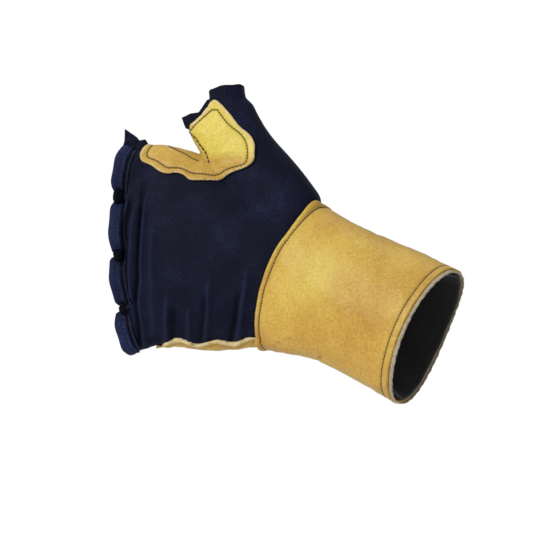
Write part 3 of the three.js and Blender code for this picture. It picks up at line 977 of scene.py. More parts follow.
def finish_material(name):
    """The material of that name, made on first use."""
    if name in bpy.data.materials:
        return bpy.data.materials[name]
    colour = colours()
    navy = colour.navy
    makers = {
        "navy_knit": (knit_material, navy, (0.014, 0.018, 0.045), 0.08),
        # The gathers' knit: a darker copy of the navy, as painted shade between the fingers.
        "tacked_knit": (knit_material, scaled(navy, 0.3), scaled(navy, 0.7), 0.0),
        "hem_knit": (knit_material, colour.hem, (0.03, 0.043, 0.13), 0.04),
        "golden_leather": (leather_material, colour.leather, colour.raw_edge),
        "raw_suede": (plain_cloth_material, (0.3, 0.24, 0.15), (0.5, 0.43, 0.3), 900),
        "lining_cloth": (plain_cloth_material, colour.lining, (0.02, 0.02, 0.022), 1100),
        "black_thread": (thread_material,),
    }
    maker, *finish = makers[name]
    return maker(name, *finish)


# Handing a finished piece to the frame

def hand_over(piece, material, nodes=()):
    """Gives a piece its material and its place in the frame."""
    piece.data.materials.clear()
    piece.data.materials.append(finish_material(material))
    piece.data.shade_smooth()
    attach(piece, BODY)
    if nodes:
        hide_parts(*nodes)


# Pieces

def build_hand_shell():
    """The hollow knit of the hand and thumb, open at the wrist and at the five hems."""
    size = sizes()
    mesh = hand_form()
    points = points_of(mesh)
    keep = placed(points, arm_frame().inverted())[:, 0] < 0.02 - size.cuff_length
    for digit in DIGITS:
        local = placed(points, digit_frame(digit).inverted())
        radius = np.linalg.norm(local[:, 1:], axis=1)
        mouth = 0.62 * digit["width"] * size.finger_width + 0.002
        keep &= ~((local[:, 0] < size.hem_width * 0.55) & (radius < mouth))
    shell = kept_part(mesh, keep)
    largest_island(shell)
    piece = thickened(new_piece("knit_shell", shell), size.fabric_wall)
    hand_over(piece, "navy_knit", ["hand_shell"])


# Hem section, from the open edge to the seam: place as a share of the hem's width, height above
# the skin in metres.
HEM_PROFILE = (
    (0.0, -0.0008), (0.015, -0.0002), (0.06, 0.00045), (0.14, 0.0008), (0.3, 0.0009), (0.5, 0.00085),
    (0.61, 0.0007), (0.68, 0.0001), (0.75, 0.0006), (0.86, 0.0009), (0.95, 0.0006), (1.0, -0.0001),
)
HEM_INSIDE = ((1.0, -0.0009), (0.7, -0.0014), (0.35, -0.0015), (0.08, -0.0014))
HEM_SEAM = 0.68


def hem_surface(digit, facets):
    """A digit's open edge, its directions from the axis, and a measure of the form along them."""
    place = digit_frame(digit)
    ring = opening_ring(digit, facets)
    flat = ring[:, 1:] / np.linalg.norm(ring[:, 1:], axis=1)[:, None]
    tree = form_tree()
    turn = np.array(place)[:3, :3]

    def radius(x, k):
        """The form's radius at x and direction k, kept close to the sleeve's own."""
        ray = Vector(turn @ np.array([0, flat[k, 0], flat[k, 1]]))
        own = float(np.linalg.norm(ring[k, 1:]))
        hit = tree.ray_cast(place @ Vector((x, 0, 0)), ray, own * 1.25)
        found = hit[3] if hit[0] is not None else own
        return min(max(found, own * 0.9), own * 1.06)

    return ring, flat, radius


def build_hem(digit, material, raise_share):
    """A turned hem that follows the form under it, rippled as sewn knit is."""
    size = sizes()
    facets = 132 if digit["name"] != "thumb" else 104
    ring, flat, radius = hem_surface(digit, facets)
    stations = np.linspace(0, 1, 6)
    measured = np.empty((len(stations), facets))
    for row, share in enumerate(stations):
        for k in range(facets):
            measured[row, k] = radius(share * size.hem_width, k)
    for _ in range(6):
        measured = (np.roll(measured, 1, 1) + 2 * measured + np.roll(measured, -1, 1)) / 4
    rings = []
    angle = turns(facets)
    up = digit["up"]
    for share, lift in (*HEM_PROFILE, *HEM_INSIDE):
        base = np.array([np.interp(share, stations, measured[:, k]) for k in range(facets)])
        ripple = 0.00009 * np.sin(angle * 23 + 3 * share + up * 9) + 0.00016 * np.sin(angle * 7 + up * 5)
        reach = base + (lift * raise_share if lift > 0 else lift) + ripple * (1 if lift > 0 else 0.3)
        edge = ring[:, 0] + share * size.hem_width + 0.00025 * np.sin(angle * 5 + up * 7) * (1 - share)
        rings.append(np.stack([edge, flat[:, 0] * reach, flat[:, 1] * reach], 1))
    points = placed(np.concatenate(rings), digit_frame(digit))
    faces = []
    for r in range(len(rings)):
        faces += band_faces(r * facets, (r + 1) % len(rings) * facets, facets)
    piece = object_from(f"knit_hem_{digit['name']}", points, faces)
    smooth = piece.modifiers.new("round", "SUBSURF")
    smooth.levels = smooth.render_levels = 1
    applied(piece)
    hand_over(piece, material, [f"hem_{digit['name']}"])


def build_gather(gather):
    """A bunched tack between two openings: pleats pinched side by side by a tight bar of thread."""
    size = sizes()
    facets, levels = 96, np.sin(np.linspace(-1, 1, 56) * math.pi / 2)
    across, rise, reach, pleat = 0.0036, 0.0043, 0.0106, 0.0019
    angle = turns(facets)
    place = np.array([-gather["along"] * size.palm_length, 0, gather["up"] * size.palm_width])
    rings = []
    for level in levels:
        cap = max(0.0, 1 - abs(level) ** 5) ** 0.5 + 0.004
        wave = 1 + 0.05 * np.cos(3 * angle + 3 * level + gather["up"] * 7)
        x = across * cap * wave * np.sign(np.cos(angle)) * np.abs(np.cos(angle)) ** 0.8
        z = rise * cap * wave * np.sin(angle)
        groove = 0.00045 * np.cos(2 * math.pi * (z + 0.0006 * np.sin(x * 700)) / pleat) * level
        rings.append(np.stack([x, reach * level + groove, z], 1))
    points, faces = loft_parts([placed(ring + place, hand_frame()) for ring in rings])
    piece = object_from(f"knit_gather_{gather['name']}", points, faces)
    # The darker knit paints the shade that falls on the tack between the fingers.
    hand_over(piece, "tacked_knit", [f"gather_{gather['name']}"])


# A seam corner's outline is drawn this much fuller, for what the softening takes off it.
TAB_FULLNESS = 1.06
TAB_THICKNESS = 0.0022


def flat_tab(name, outline, node, curl):
    """A seam corner that stands out of the form: two layers of knit sewn flat together."""
    route = outline_in_hand(outline)
    route = route.mean(0) + (route - route.mean(0)) * TAB_FULLNESS
    side = np.concatenate([np.column_stack([route[:, 0], np.full(len(route), y), route[:, 1]])
                           for y in (-TAB_THICKNESS / 2, TAB_THICKNESS / 2)])
    count = len(route)
    faces = [tuple(range(count)), tuple(2 * count - 1 - k for k in range(count))]
    faces += band_faces(0, count, count)
    piece = object_from(name, placed(side, hand_frame()), faces)
    remeshed(piece, 0.00042, smooth=4)
    points = in_hand(points_of(piece.data))
    centre = points.mean(0)
    points[:, 1] += curl * ((points[:, 2] - centre[2]) / 0.006) ** 2 * np.sign(points[:, 2] - centre[2])
    points[:, 1] += 0.0003 * soft_noise(points, 900)
    set_points(piece.data, placed(points, hand_frame()))
    hand_over(piece, "navy_knit", [node])


# How far outside its outline a piece of leather is first cut, how wide the dip along a seam is, and
# how wide the shadow between the stitches.
ROUGH_CUT = 0.004
SEAM_DIP = 0.0007
SEAM_LINE = 0.00045

# The thumb lobe of the web patch, which is painted lighter as painted highlight: it starts at a line
# across the hand's X and Z and fades out below its foot.
LOBE_BORDER = {"through": (-0.0581, 0.0776), "towards": (0.798, 0.601), "foot": 0.0615}

# Wrinkles that fan out of the web's corner: angle in degrees, start and end in millimetres.
CREASE_FAN = (
    (14, 9, 17), (24, 7, 15), (35, 5, 14), (44, 8, 19),
    (52, 5, 13), (61, 7, 18), (70, 6, 12), (80, 9, 16),
)
WEB_CORNER = (0.495, 0.565)


def leather_blank(name, near, inside, to_edge):
    """Leather on the form: rough-cut where near is true, fine-cut where inside says, its cut edge
    moved on to the outline by to_edge, then given its thickness."""
    piece = new_piece(name, kept_part(hand_form(), near))
    finer = piece.modifiers.new("finer", "SUBSURF")
    finer.levels = finer.render_levels = 1
    soften = piece.modifiers.new("soften", "SMOOTH")
    soften.iterations = 6
    applied(piece)
    set_points(piece.data, points_of(piece.data) + normals_of(piece.data) * sizes().gap)
    piece.data = kept_part(piece.data, inside(in_hand(points_of(piece.data))))
    largest_island(piece.data)
    trim_teeth(piece.data)
    edge = boundary_points(piece.data)
    points = in_hand(points_of(piece.data))
    points[edge] = to_edge(points[edge])
    set_points(piece.data, placed(points, hand_frame()))
    return thickened(piece, sizes().leather_wall, 1)


def trim_teeth(mesh):
    """Takes off single faces that hang on a cut edge by one side."""
    bm = bmesh.new()
    bm.from_mesh(mesh)
    for _ in range(3):
        teeth = [f for f in bm.faces if sum(len(e.link_faces) == 1 for e in f.edges) >= 3]
        bmesh.ops.delete(bm, geom=teeth, context="FACES")
    loose = [v for v in bm.verts if not v.link_faces]
    bmesh.ops.delete(bm, geom=loose, context="VERTS")
    bm.to_mesh(mesh)
    bm.free()


def boundary_points(mesh):
    """Whether each point lies on a cut edge."""
    bm = bmesh.new()
    bm.from_mesh(mesh)
    edge = np.array([v.is_boundary for v in bm.verts])
    bm.free()
    return edge


def build_web_patch():
    """The leather patch over the thumb web, dished at its seams and rough at its cut edge."""
    size = sizes()
    outline = smooth_outline(outline_in_hand(PATCH_OUTLINE), 2)
    local = in_hand(points_of(hand_form()))
    flat = local[:, [0, 2]]
    away, _ = distance_to_route(flat, outline, closed=True)
    near = inside_outline(flat, outline) | (away < ROUGH_CUT)
    near &= local[:, 1] < size.patch_wrap + ROUGH_CUT

    def inside(local):
        return inside_outline(local[:, [0, 2]], outline) & (local[:, 1] < size.patch_wrap)

    def to_edge(local):
        away, _, nearest = nearest_on_route(local[:, [0, 2]], outline, closed=True)
        wraps = size.patch_wrap - local[:, 1] < away
        moved = np.column_stack([nearest[:, 0], local[:, 1], nearest[:, 1]])
        wrapped = np.column_stack([local[:, 0], np.full(len(local), size.patch_wrap), local[:, 2]])
        return np.where(wraps[:, None], wrapped, moved)

    piece = leather_blank("leather_web_patch", near, inside, to_edge)
    remeshed(piece, 0.0005, smooth=3)
    mesh = piece.data
    points, normals = points_of(mesh), normals_of(mesh)
    local = in_hand(points)
    flat = local[:, [0, 2]]
    away, _ = distance_to_route(flat, outline, closed=True)
    seam, _ = distance_to_route(flat, smooth_outline(outline_in_hand(PATCH_STITCHES), 1, closed=False))
    vee, _ = distance_to_route(flat, outline_in_hand(VEE_SEAM))
    lobe_seam, _ = distance_to_route(flat, outline_in_hand(LOBE_SEAM))
    creases = patch_creases(flat)
    lift = -0.00045 * np.exp(-(seam / SEAM_DIP) ** 2) - 0.0004 * np.exp(-(vee / SEAM_DIP) ** 2)
    lift += 0.0005 * np.exp(-(away / 0.0018) ** 2) - 0.00025 * creases
    lift += 0.00025 * soft_noise(points, 420, 1.0)
    set_points(mesh, points + normals * (lift * np.clip(-normals[:, 1] + 0.4, 0, 1))[:, None])
    ragged = 0.0006 * soft_noise(points, 1500, 2.0)
    set_attribute(mesh, "edge", 0.8 * np.clip(1.5 - (away + ragged) / 0.0007, 0, 1))
    past_seam = (flat - LOBE_BORDER["through"]) @ LOBE_BORDER["towards"]
    above_foot = flat[:, 1] - LOBE_BORDER["foot"]
    lobe = np.clip(past_seam / 0.002 + 0.5, 0, 1) * np.clip(above_foot / 0.006, 0, 1)
    # Painted highlight on the thumb lobe.
    set_attribute(mesh, "bright", 0.75 * lobe)
    # Painted shadow along the stitch lines.
    sewn = np.minimum(np.minimum(seam, lobe_seam), vee)
    set_attribute(mesh, "seam", np.exp(-(sewn / SEAM_LINE) ** 2))
    # Painted shade in the creases and on the index lobe, which faces away from the light.
    set_attribute(mesh, "crease", np.clip(creases * 0.4 + 0.32 * (1 - lobe), 0, 1))
    hand_over(piece, "golden_leather", ["web_patch"])
    FORM_CACHE["patch"] = tree_of(mesh)


def patch_creases(flat):
    """Fine wrinkles that fan out of the web's corner over the thumb lobe."""
    corner = outline_in_hand([WEB_CORNER])[0]
    total = np.zeros(len(flat))
    for k, (angle, start, end) in enumerate(CREASE_FAN):
        step = heading(angle) * MILLIMETRE
        side = heading(angle + 90) * 0.0005 * (-1) ** k
        route = [corner + step * start, corner + step * (start + end) / 2 + side, corner + step * end]
        away, share = distance_to_route(flat, route)
        total += np.sin(math.pi * np.clip(share, 0.08, 0.92)) * 0.7 * np.exp(-(away / 0.0004) ** 2)
    fold = corner + np.array([(0.002, -0.001), (0.01, 0.0005), (0.02, 0.001)])
    away, share = distance_to_route(flat, fold)
    return np.clip(total + 0.7 * np.exp(-(away / 0.001) ** 2) * (1 - share * 0.6), 0, 1)


def smooth_outline(points, rounds, closed=True):
    """Corner cutting that keeps the given points close."""
    points = np.asarray(points, float)
    for _ in range(rounds):
        ends = np.roll(points, -1, axis=0) if closed else points[1:]
        starts = points if closed else points[:-1]
        quarter = starts * 0.75 + ends * 0.25
        three = starts * 0.25 + ends * 0.75
        cut = np.stack([quarter, three], 1).reshape(-1, 2)
        points = cut if closed else np.concatenate([points[:1], cut, points[-1:]])
    return points


# The palm leather's lap round the little-finger side: from and to in shares of the palm's length,
# its height on the back, and the height and length of its waves.
LAP = {"from": 0.82, "to": -0.1, "rise": 0.0026, "wave": 0.0011, "wave_length": 0.021}

# Below this share of the palm's width the palm leather reaches round to the middle of the side.
LOW_SIDE = -0.2


def lap_line():
    """The lap's wavy raw edge, in the hand's X and Z."""
    size = sizes()
    share = np.linspace(0, 1, 60)
    along = (LAP["from"] + (LAP["to"] - LAP["from"]) * share) * size.palm_length
    rise = (0.2 + 0.8 * np.minimum(1, 3 * share)) * LAP["rise"]
    wave = LAP["wave"] * np.cos(along / LAP["wave_length"] * 2 * math.pi)
    low = table_curve(PALM, "reach", "bottom", along / size.palm_length) * size.palm_width
    return np.column_stack([-along, low + rise + wave])


def build_palm_panel():
    """The leather palm, with a raised wavy edge where it laps round the little-finger side."""
    size = sizes()
    local = in_hand(points_of(hand_form()))
    lap = lap_line()
    outline = outline_in_hand(PANEL_OUTLINE)

    def split(local):
        return np.where(local[:, 2] < LOW_SIDE * size.palm_width, 0, size.patch_wrap + size.gap)

    def lap_height(local):
        return np.interp(local[:, 0], lap[:, 0], lap[:, 1], left=-1, right=-1)

    def inside(local):
        behind = (local[:, 1] > split(local)) & inside_outline(local[:, [0, 2]], outline)
        return behind | (local[:, 2] < lap_height(local))

    def to_edge(local):
        moved = local.copy()
        above = local[:, 2] - lap_height(local)
        at_lap = (np.abs(above) < 0.0012) & (local[:, 1] < split(local) + 0.001)
        at_split = ~at_lap & (np.abs(local[:, 1] - split(local)) < 0.0012)
        moved[at_lap, 2] -= above[at_lap]
        moved[at_split, 1] = split(local)[at_split]
        return moved

    near = (local[:, 1] > split(local) - ROUGH_CUT) | (local[:, 2] < lap_height(local) + ROUGH_CUT)
    piece = leather_blank("leather_palm_panel", near, inside, to_edge)
    remeshed(piece, 0.00062, smooth=3)
    mesh = piece.data
    points, normals = points_of(mesh), normals_of(mesh)
    local = in_hand(points)
    low = np.interp(local[:, 0], lap[:, 0], lap[:, 1])
    away = np.where(local[:, 1] < split(local), np.abs(low - local[:, 2]), 1)
    front = np.clip((split(local) - local[:, 1]) / 0.002, 0, 1)
    curl = 0.0009 * np.exp(-(away / 0.0011) ** 2) - 0.0004 * np.exp(-((away - 0.0026) / SEAM_DIP) ** 2)
    past_cuff = -size.cuff_length - 0.001 - placed(points, arm_frame().inverted())[:, 0]
    curl *= front * np.clip(past_cuff / 0.004, 0, 1)
    set_points(mesh, points + normals * (0.00025 * soft_noise(points, 330, 4.0) + curl)[:, None])
    ragged = 0.0005 * soft_noise(points, 1200)
    set_attribute(mesh, "edge", front * np.clip(1.6 - (away + ragged) / 0.0013, 0, 1))
    # Painted shadow just under the lap's curled edge.
    set_attribute(mesh, "crease", 0.9 * front * np.exp(-((away - 0.0027) / 0.0006) ** 2))
    hand_over(piece, "golden_leather", ["palm_panel"])
    FORM_CACHE["panel"] = tree_of(mesh)


# The cuff

# The cuff's rolled rim at its hand edge: distance from the edge and height, in metres.
RIM_PROFILE = (
    (0.0, -0.0006), (0.0002, 0.0002), (0.0006, 0.0007), (0.0012, 0.0008), (0.0018, 0.0007),
    (0.0021, 0.0003), (0.0025, -0.0002), (0.0029, -0.0004), (0.0036, 0.0001), (0.006, 0.0),
)

# The raw edge round the mouth, from inside the cuff outwards: place along the forearm and height.
RAW_EDGE_PROFILE = (
    (0.009, -0.0014), (0.006, -0.0014), (0.003, -0.0014), (0.001, -0.0013), (0.0002, -0.0011),
    (-0.0006, -0.0007), (-0.0013, -0.0006), (-0.002, -0.0009), (-0.0024, -0.0014),
)
RIM_STITCHES_IN = 0.0028
MOUTH_STITCHES_IN = 0.0042
LINING_PAST_MOUTH = 0.0012
LINING_SHORT_OF_RIM = 0.0206
SUEDE_WALL = 0.0005

# Marks on the cuff, seen from the back: the painted highlight on its middle in the forearm's frame, its
# worn corner and its dark speck in X and Z.
CUFF_HIGHLIGHT = {"along": 0.76, "spread": 0.2, "up": 0.004, "width": 0.024}
WORN = {"centre": (-0.029, 0.038), "axes": ((0.8, 0.6), (-0.6, 0.8)), "length": 0.013, "width": 0.008}
SPECK = (-0.058, -0.0127)
SPECK_RADIUS = 0.0009


def mouth_set_back(ring, share):
    """How far the bowed mouth draws a ring of the cuff back at that share of its length."""
    size = sizes()
    hump = np.maximum(0, 1 - (ring[:, 2] / (size.cuff_width / 2)) ** 2)
    return size.mouth_bow * hump * (1 - share) ** 2


def cuff_bow(ring, share):
    """How far both bowed ends of the cuff draw a ring towards the hand."""
    size = sizes()
    hump = 1 - (ring[:, 2] / (size.cuff_width / 2)) ** 2
    return size.edge_bow * hump * share ** 2 + mouth_set_back(ring, share)


def corner_swell(angle):
    """1 at the cuff's lower corner, falling off on both sides of it."""
    return np.exp(-((angle - math.pi) / 0.5) ** 2)


def cuff_points(shares, facets):
    """Rings of the cuff's outer face in the forearm's frame, lying on the knit and the palm leather."""
    size = sizes()
    rows = []
    arm = arm_frame()
    turn = arm.to_3x3()
    under = ((form_tree(), 0), (FORM_CACHE["panel"], size.leather_wall * 0.8))
    for share in shares:
        ring = wrist_ring(0, share, facets)
        ring[:, 0] -= cuff_bow(ring, share)
        if share > 0.7:
            for k, point in enumerate(ring):
                start = arm @ Vector((point[0], 0, 0))
                ray = turn @ Vector((0, point[1], point[2]))
                own = ray.length
                reach = 0
                for tree, thickness in under:
                    hit = tree.ray_cast(start, ray.normalized(), own * 1.5)
                    if hit[0] is not None:
                        reach = max(reach, hit[3] + thickness)
                ring[k, 1:] *= max(1, (reach + size.gap + size.leather_wall) / own)
        rows.append(ring)
    rows = np.array(rows)
    radius = np.linalg.norm(rows[:, :, 1:], axis=2)
    unit = rows[:, :, 1:] / radius[:, :, None]
    floor = radius.copy()
    for _ in range(8):
        soft = (np.roll(radius, 1, 1) + 2 * radius + np.roll(radius, -1, 1)) / 4
        for _ in range(6):
            soft[1:-1] = (soft[:-2] + 2 * soft[1:-1] + soft[2:]) / 4
        radius = np.maximum(soft, floor)
    rows[:, :, 1:] = unit * radius[:, :, None]
    return rows


def build_cuff():
    """The leather cuff, with its rolled rim and the slight waves of worn hide."""
    size = sizes()
    facets = 280
    places, heights = np.array(RIM_PROFILE).T
    steps = np.concatenate([np.linspace(0, 0.9, 96), 1 - places[::-1] / size.cuff_length])
    rows = cuff_points(steps, facets)
    angle = turns(facets)
    from_mouth = steps * size.cuff_length
    raised = np.interp((1 - steps) * size.cuff_length, places, heights)
    world = placed(rows.reshape(-1, 3), arm_frame())
    soft = soft_noise(world, 120, 3.0).reshape(rows.shape[:2])
    fine = soft_noise(world, 420, 5.0).reshape(rows.shape[:2])
    swell = 0.0004 + 0.0004 * np.sin(angle * 3 + 1) + 0.0012 * corner_swell(angle)
    curl = np.exp(-from_mouth / 0.006)[:, None] * swell[None, :]
    groove = -0.00045 * np.exp(-((from_mouth - MOUTH_STITCHES_IN) / 0.0006) ** 2)
    pushed_out(rows, raised[:, None] + 0.0005 * soft + 0.00022 * fine + curl + groove[:, None])
    piece = tube_piece("leather_cuff", rows, size.leather_wall)
    tint_cuff(piece.data)
    hand_over(piece, "golden_leather", ["cuff"])
    FORM_CACHE["cuff"] = tree_of(piece.data)


def cuff_stitch_shares():
    """Where the cuff's two rows of stitches run, as shares of its length from the mouth."""
    length = sizes().cuff_length
    return 1 - RIM_STITCHES_IN / length, MOUTH_STITCHES_IN / length


def tint_cuff(mesh):
    """Paints a yellow painted highlight on the back, painted shadow along the seams, the worn corner
    whose crease lines get painted shade, a warm painted shade on the low side and the dark speck.
    """
    size = sizes()
    points = points_of(mesh)
    local = placed(points, arm_frame().inverted())
    along = -local[:, 0] / size.cuff_length
    back = np.clip(-normals_of(mesh)[:, 1], 0, 1)
    # Painted highlight on the lit middle of the back.
    highlight = np.exp(-((along - CUFF_HIGHLIGHT["along"]) / CUFF_HIGHLIGHT["spread"]) ** 2
                    - ((local[:, 2] - CUFF_HIGHLIGHT["up"]) / CUFF_HIGHLIGHT["width"]) ** 2)
    highlight = highlight * (0.75 + 0.25 * soft_noise(points, 140, 2.0)) * back
    set_attribute(mesh, "bright", np.clip(0.75 * highlight, 0, 1))
    # Painted shadow along both stitch rows, and the dark speck.
    rows = [np.abs(-local[:, 0] - share * size.cuff_length - cuff_bow(local, share))
            for share in cuff_stitch_shares()]
    seam = np.exp(-(np.minimum(*rows) / SEAM_LINE) ** 2)
    # The worn corner's wrinkles, whose lines also get painted shade.
    corner = (points[:, [0, 2]] - WORN["centre"]) @ np.array(WORN["axes"])
    worn = np.exp(-(corner[:, 0] / WORN["length"]) ** 2 - (corner[:, 1] / WORN["width"]) ** 2)
    set_attribute(mesh, "worn", back * np.clip(worn + 0.16 * (1 + soft_noise(points, 90, 7.0)), 0, 1))
    speck = np.linalg.norm(points[:, [0, 2]] - SPECK, axis=1)
    on_back = points[:, 1] < 0.02
    set_attribute(mesh, "seam", np.maximum(seam, np.exp(-(speck / SPECK_RADIUS) ** 2) * on_back))
    # Painted shade on the cuff's back, strongest low down and towards the mouth.
    set_attribute(mesh, "warm", np.clip(0.15 - local[:, 2] / 0.045 - along * 0.15, 0, 1) * back ** 0.5)


def tube_piece(name, rows, wall):
    """An open tube round the forearm, with its wall inside its rings."""
    points, faces = loft_parts(rows, caps=False)
    return thickened(object_from(name, placed(points, arm_frame()), faces), wall)


def build_cuff_lining():
    """The black cloth inside the cuff."""
    size = sizes()
    facets = 200
    start, end = -LINING_PAST_MOUTH / size.cuff_length, 1 - LINING_SHORT_OF_RIM / size.cuff_length
    rows = []
    angle = turns(facets)
    for share in np.linspace(start, end, 60):
        ring = wrist_ring(-size.gap - size.leather_wall - 0.0003, max(share, 0), facets)
        ring[:, 0] = -share * size.cuff_length - mouth_set_back(ring, max(share, 0))
        ripple = 0.0003 * np.sin(angle * 9 + share * 14) + 0.0002 * np.sin(angle * 17 - share * 9)
        rows.append(pushed_out(ring, ripple - 0.0003))
    piece = tube_piece("lining_tube", rows, size.lining_wall)
    hand_over(piece, "lining_cloth", ["cuff_lining"])


def build_raw_edge():
    """The leather's cut flesh edge, which shows as a grey band round the mouth."""
    size = sizes()
    facets = 260
    angle = turns(facets)
    ragged = 0.00012 * np.sin(angle * 47 + 1) + 0.0001 * np.sin(angle * 29)
    ragged += 0.00025 * np.sin(angle * 3 + 2)
    swell = 0.0003 + 0.0003 * np.sin(angle * 3 + 1) + 0.0013 * corner_swell(angle)
    rows = []
    for place, height in RAW_EDGE_PROFILE:
        ring = wrist_ring(-size.gap, max(place, 0) / size.cuff_length, facets)
        ring[:, 0] = -place - mouth_set_back(ring, 0) + ragged * (place < 0)
        rows.append(pushed_out(ring, height + swell))
    piece = tube_piece("suede_mouth_edge", rows, SUEDE_WALL)
    hand_over(piece, "raw_suede")


# Stitches

def stitch_tree(name):
    """Geometry Nodes that lay short rounded stitches along a route."""
    tree = bpy.data.node_groups.new(name, "GeometryNodeTree")
    face = tree.interface
    face.new_socket(name="Route", in_out="INPUT", socket_type="NodeSocketGeometry")
    for label, value in (("Pitch", 0.0021), ("Length", 0.0015), ("Thickness", 0.0003)):
        socket = face.new_socket(name=label, in_out="INPUT", socket_type="NodeSocketFloat")
        socket.default_value = value
    face.new_socket(name="Thread", in_out="INPUT", socket_type="NodeSocketMaterial")
    face.new_socket(name="Stitches", in_out="OUTPUT", socket_type="NodeSocketGeometry")
    nodes = tree.nodes
    source, sink = nodes.new("NodeGroupInput"), nodes.new("NodeGroupOutput")
    curve = nodes.new("GeometryNodeMeshToCurve")
    spaced = nodes.new("GeometryNodeResampleCurve")
    spaced.mode = "LENGTH"
    aim = nodes.new("FunctionNodeAlignEulerToVector")
    aim.axis = "X"
    tangent = nodes.new("GeometryNodeInputTangent")
    capture = nodes.new("GeometryNodeCaptureAttribute")
    capture.capture_items.new("VECTOR", "Heading")
    to_points = nodes.new("GeometryNodeCurveToPoints")
    to_points.mode = "EVALUATED"
    bead = nodes.new("GeometryNodeMeshUVSphere")
    bead.inputs["Segments"].default_value = 8
    bead.inputs["Rings"].default_value = 6
    bead.inputs["Radius"].default_value = 0.5
    shape = nodes.new("ShaderNodeCombineXYZ")
    place = nodes.new("GeometryNodeInstanceOnPoints")
    real = nodes.new("GeometryNodeRealizeInstances")
    paint = nodes.new("GeometryNodeSetMaterial")
    for start, output, end, entry in (
        (source, "Route", curve, "Mesh"),
        (curve, "Curve", spaced, "Curve"),
        (source, "Pitch", spaced, "Length"),
        (spaced, "Curve", capture, "Geometry"),
        (tangent, "Tangent", capture, "Heading"),
        (capture, "Geometry", to_points, "Curve"),
        (to_points, "Points", place, "Points"),
        (bead, "Mesh", place, "Instance"),
        (capture, "Heading", aim, "Vector"),
        (aim, "Rotation", place, "Rotation"),
        (source, "Length", shape, "X"),
        (source, "Thickness", shape, "Y"),
        (source, "Thickness", shape, "Z"),
        (shape, "Vector", place, "Scale"),
        (place, "Instances", real, "Geometry"),
        (real, "Geometry", paint, "Geometry"),
        (source, "Thread", paint, "Material"),
        (paint, "Geometry", sink, "Stitches"),
    ):
        joined(tree, start.outputs[output], end.inputs[entry])
    return tree


# How far in front of the back a stitch's ray starts, and how close a route's points lie.
BEFORE_THE_BACK = -0.12
ROUTE_STEP = 0.0004

# Sizes of the stitches in metres. The leather's own pitch is one of the glove's sizes.
LEATHER_STITCH = {"Length": 0.0015, "Thickness": 0.00055}
VEE_STITCH = {"Pitch": 0.0027, "Length": 0.0022, "Thickness": 0.00075}
HEM_STITCH = {"Pitch": 0.0019, "Length": 0.0013, "Thickness": 0.0008}


def stitch_run(name, routes, stitch):
    """Stitches along one or more routes of world points, as one plain mesh."""
    points, edges = [], []
    for route in routes:
        start = len(points)
        points += [tuple(p) for p in route]
        edges += [(start + k, start + k + 1) for k in range(len(route) - 1)]
    mesh = bpy.data.meshes.new(name)
    mesh.from_pydata(points, edges, [])
    piece = new_piece(name, mesh)
    tree = bpy.data.node_groups.get("stitches") or stitch_tree("stitches")
    step = piece.modifiers.new("stitches", "NODES")
    step.node_group = tree
    values = {"Pitch": sizes().stitch_pitch, **stitch, "Thread": finish_material("black_thread")}
    for item in tree.interface.items_tree:
        if item.item_type == "SOCKET" and item.in_out == "INPUT" and item.name in values:
            step[item.identifier] = values[item.name]
    applied(piece)
    piece.data.shade_smooth()
    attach(piece, BODY)


def on_surface(route, tree, lift):
    """Carries a flat route in the hand's X and Z onto a surface, seen from the back."""
    hand = hand_frame()
    ray = hand.to_3x3() @ Vector((0, 1, 0))
    found = []
    for x, z in route:
        hit = tree.ray_cast(hand @ Vector((x, BEFORE_THE_BACK, z)), ray)
        if hit[0] is not None:
            found.append(hit[0] + hit[1] * lift)
    return found


def dense(route):
    """A route with points close enough to follow a curved surface."""
    route = np.asarray(route, float)
    lengths = np.linalg.norm(np.diff(route, axis=0), axis=1)
    done = np.concatenate([[0], np.cumsum(lengths)])
    at = np.linspace(0, done[-1], max(2, int(done[-1] / ROUTE_STEP)))
    return np.column_stack([np.interp(at, done, route[:, k]) for k in range(route.shape[1])])


def build_leather_stitches():
    """The seams of the web patch and the two rows round the cuff."""
    patch = FORM_CACHE["patch"]
    edge = dense(smooth_outline(outline_in_hand(PATCH_STITCHES), 1, closed=False))
    lobe = dense(outline_in_hand(LOBE_SEAM))
    routes = [on_surface(edge, patch, 0.00005), on_surface(lobe, patch, 0.00005)]
    stitch_run("stitches_web_patch", routes, LEATHER_STITCH)
    vee = dense(smooth_outline(outline_in_hand(VEE_SEAM), 2, closed=False))
    stitch_run("stitches_vee", [on_surface(vee, patch, 0.0001)], VEE_STITCH)
    rows = []
    tree = FORM_CACHE["cuff"]
    arm = arm_frame()
    turn = arm.to_3x3()
    for share in cuff_stitch_shares():
        ring = wrist_ring(0, share, 400)
        ring[:, 0] -= cuff_bow(ring, share)
        found = []
        for point in ring:
            ray = (turn @ Vector((0, point[1], point[2]))).normalized()
            hit = tree.ray_cast(arm @ Vector((point[0], 0, 0)) + ray * 0.09, -ray)
            if hit[0] is not None:
                found.append(hit[0] + ray * 0.00005)
        rows.append(found + found[:1])
    stitch_run("stitches_cuff", rows, LEATHER_STITCH)


def build_hem_stitches():
    """One row round each finger hem, in its seam."""
    facets = 160
    behind = HEM_SEAM * sizes().hem_width
    routes = []
    for digit in FINGERS:
        ring, flat, radius = hem_surface(digit, facets)
        reach = np.array([radius(behind, k) for k in range(facets)]) + 0.0004
        route = placed(np.column_stack([ring[:, 0] + behind, flat * reach[:, None]]), digit_frame(digit))
        routes.append([*route, route[0]])
    stitch_run("stitches_hems", routes, HEM_STITCH)


# The studio

# Metres for each pixel of a square picture, and the pixel that the origin falls on.
PIXEL = 0.00055
PICTURE_SIDE = 540
ORIGIN_PIXEL = (424.8, 333.6)
SUBJECT_DEPTH = 0.03
SENSOR = 36
CAMERA_AWAY = 3.0
BACKDROP_GLOW, AMBIENT = 1.0, 0.42

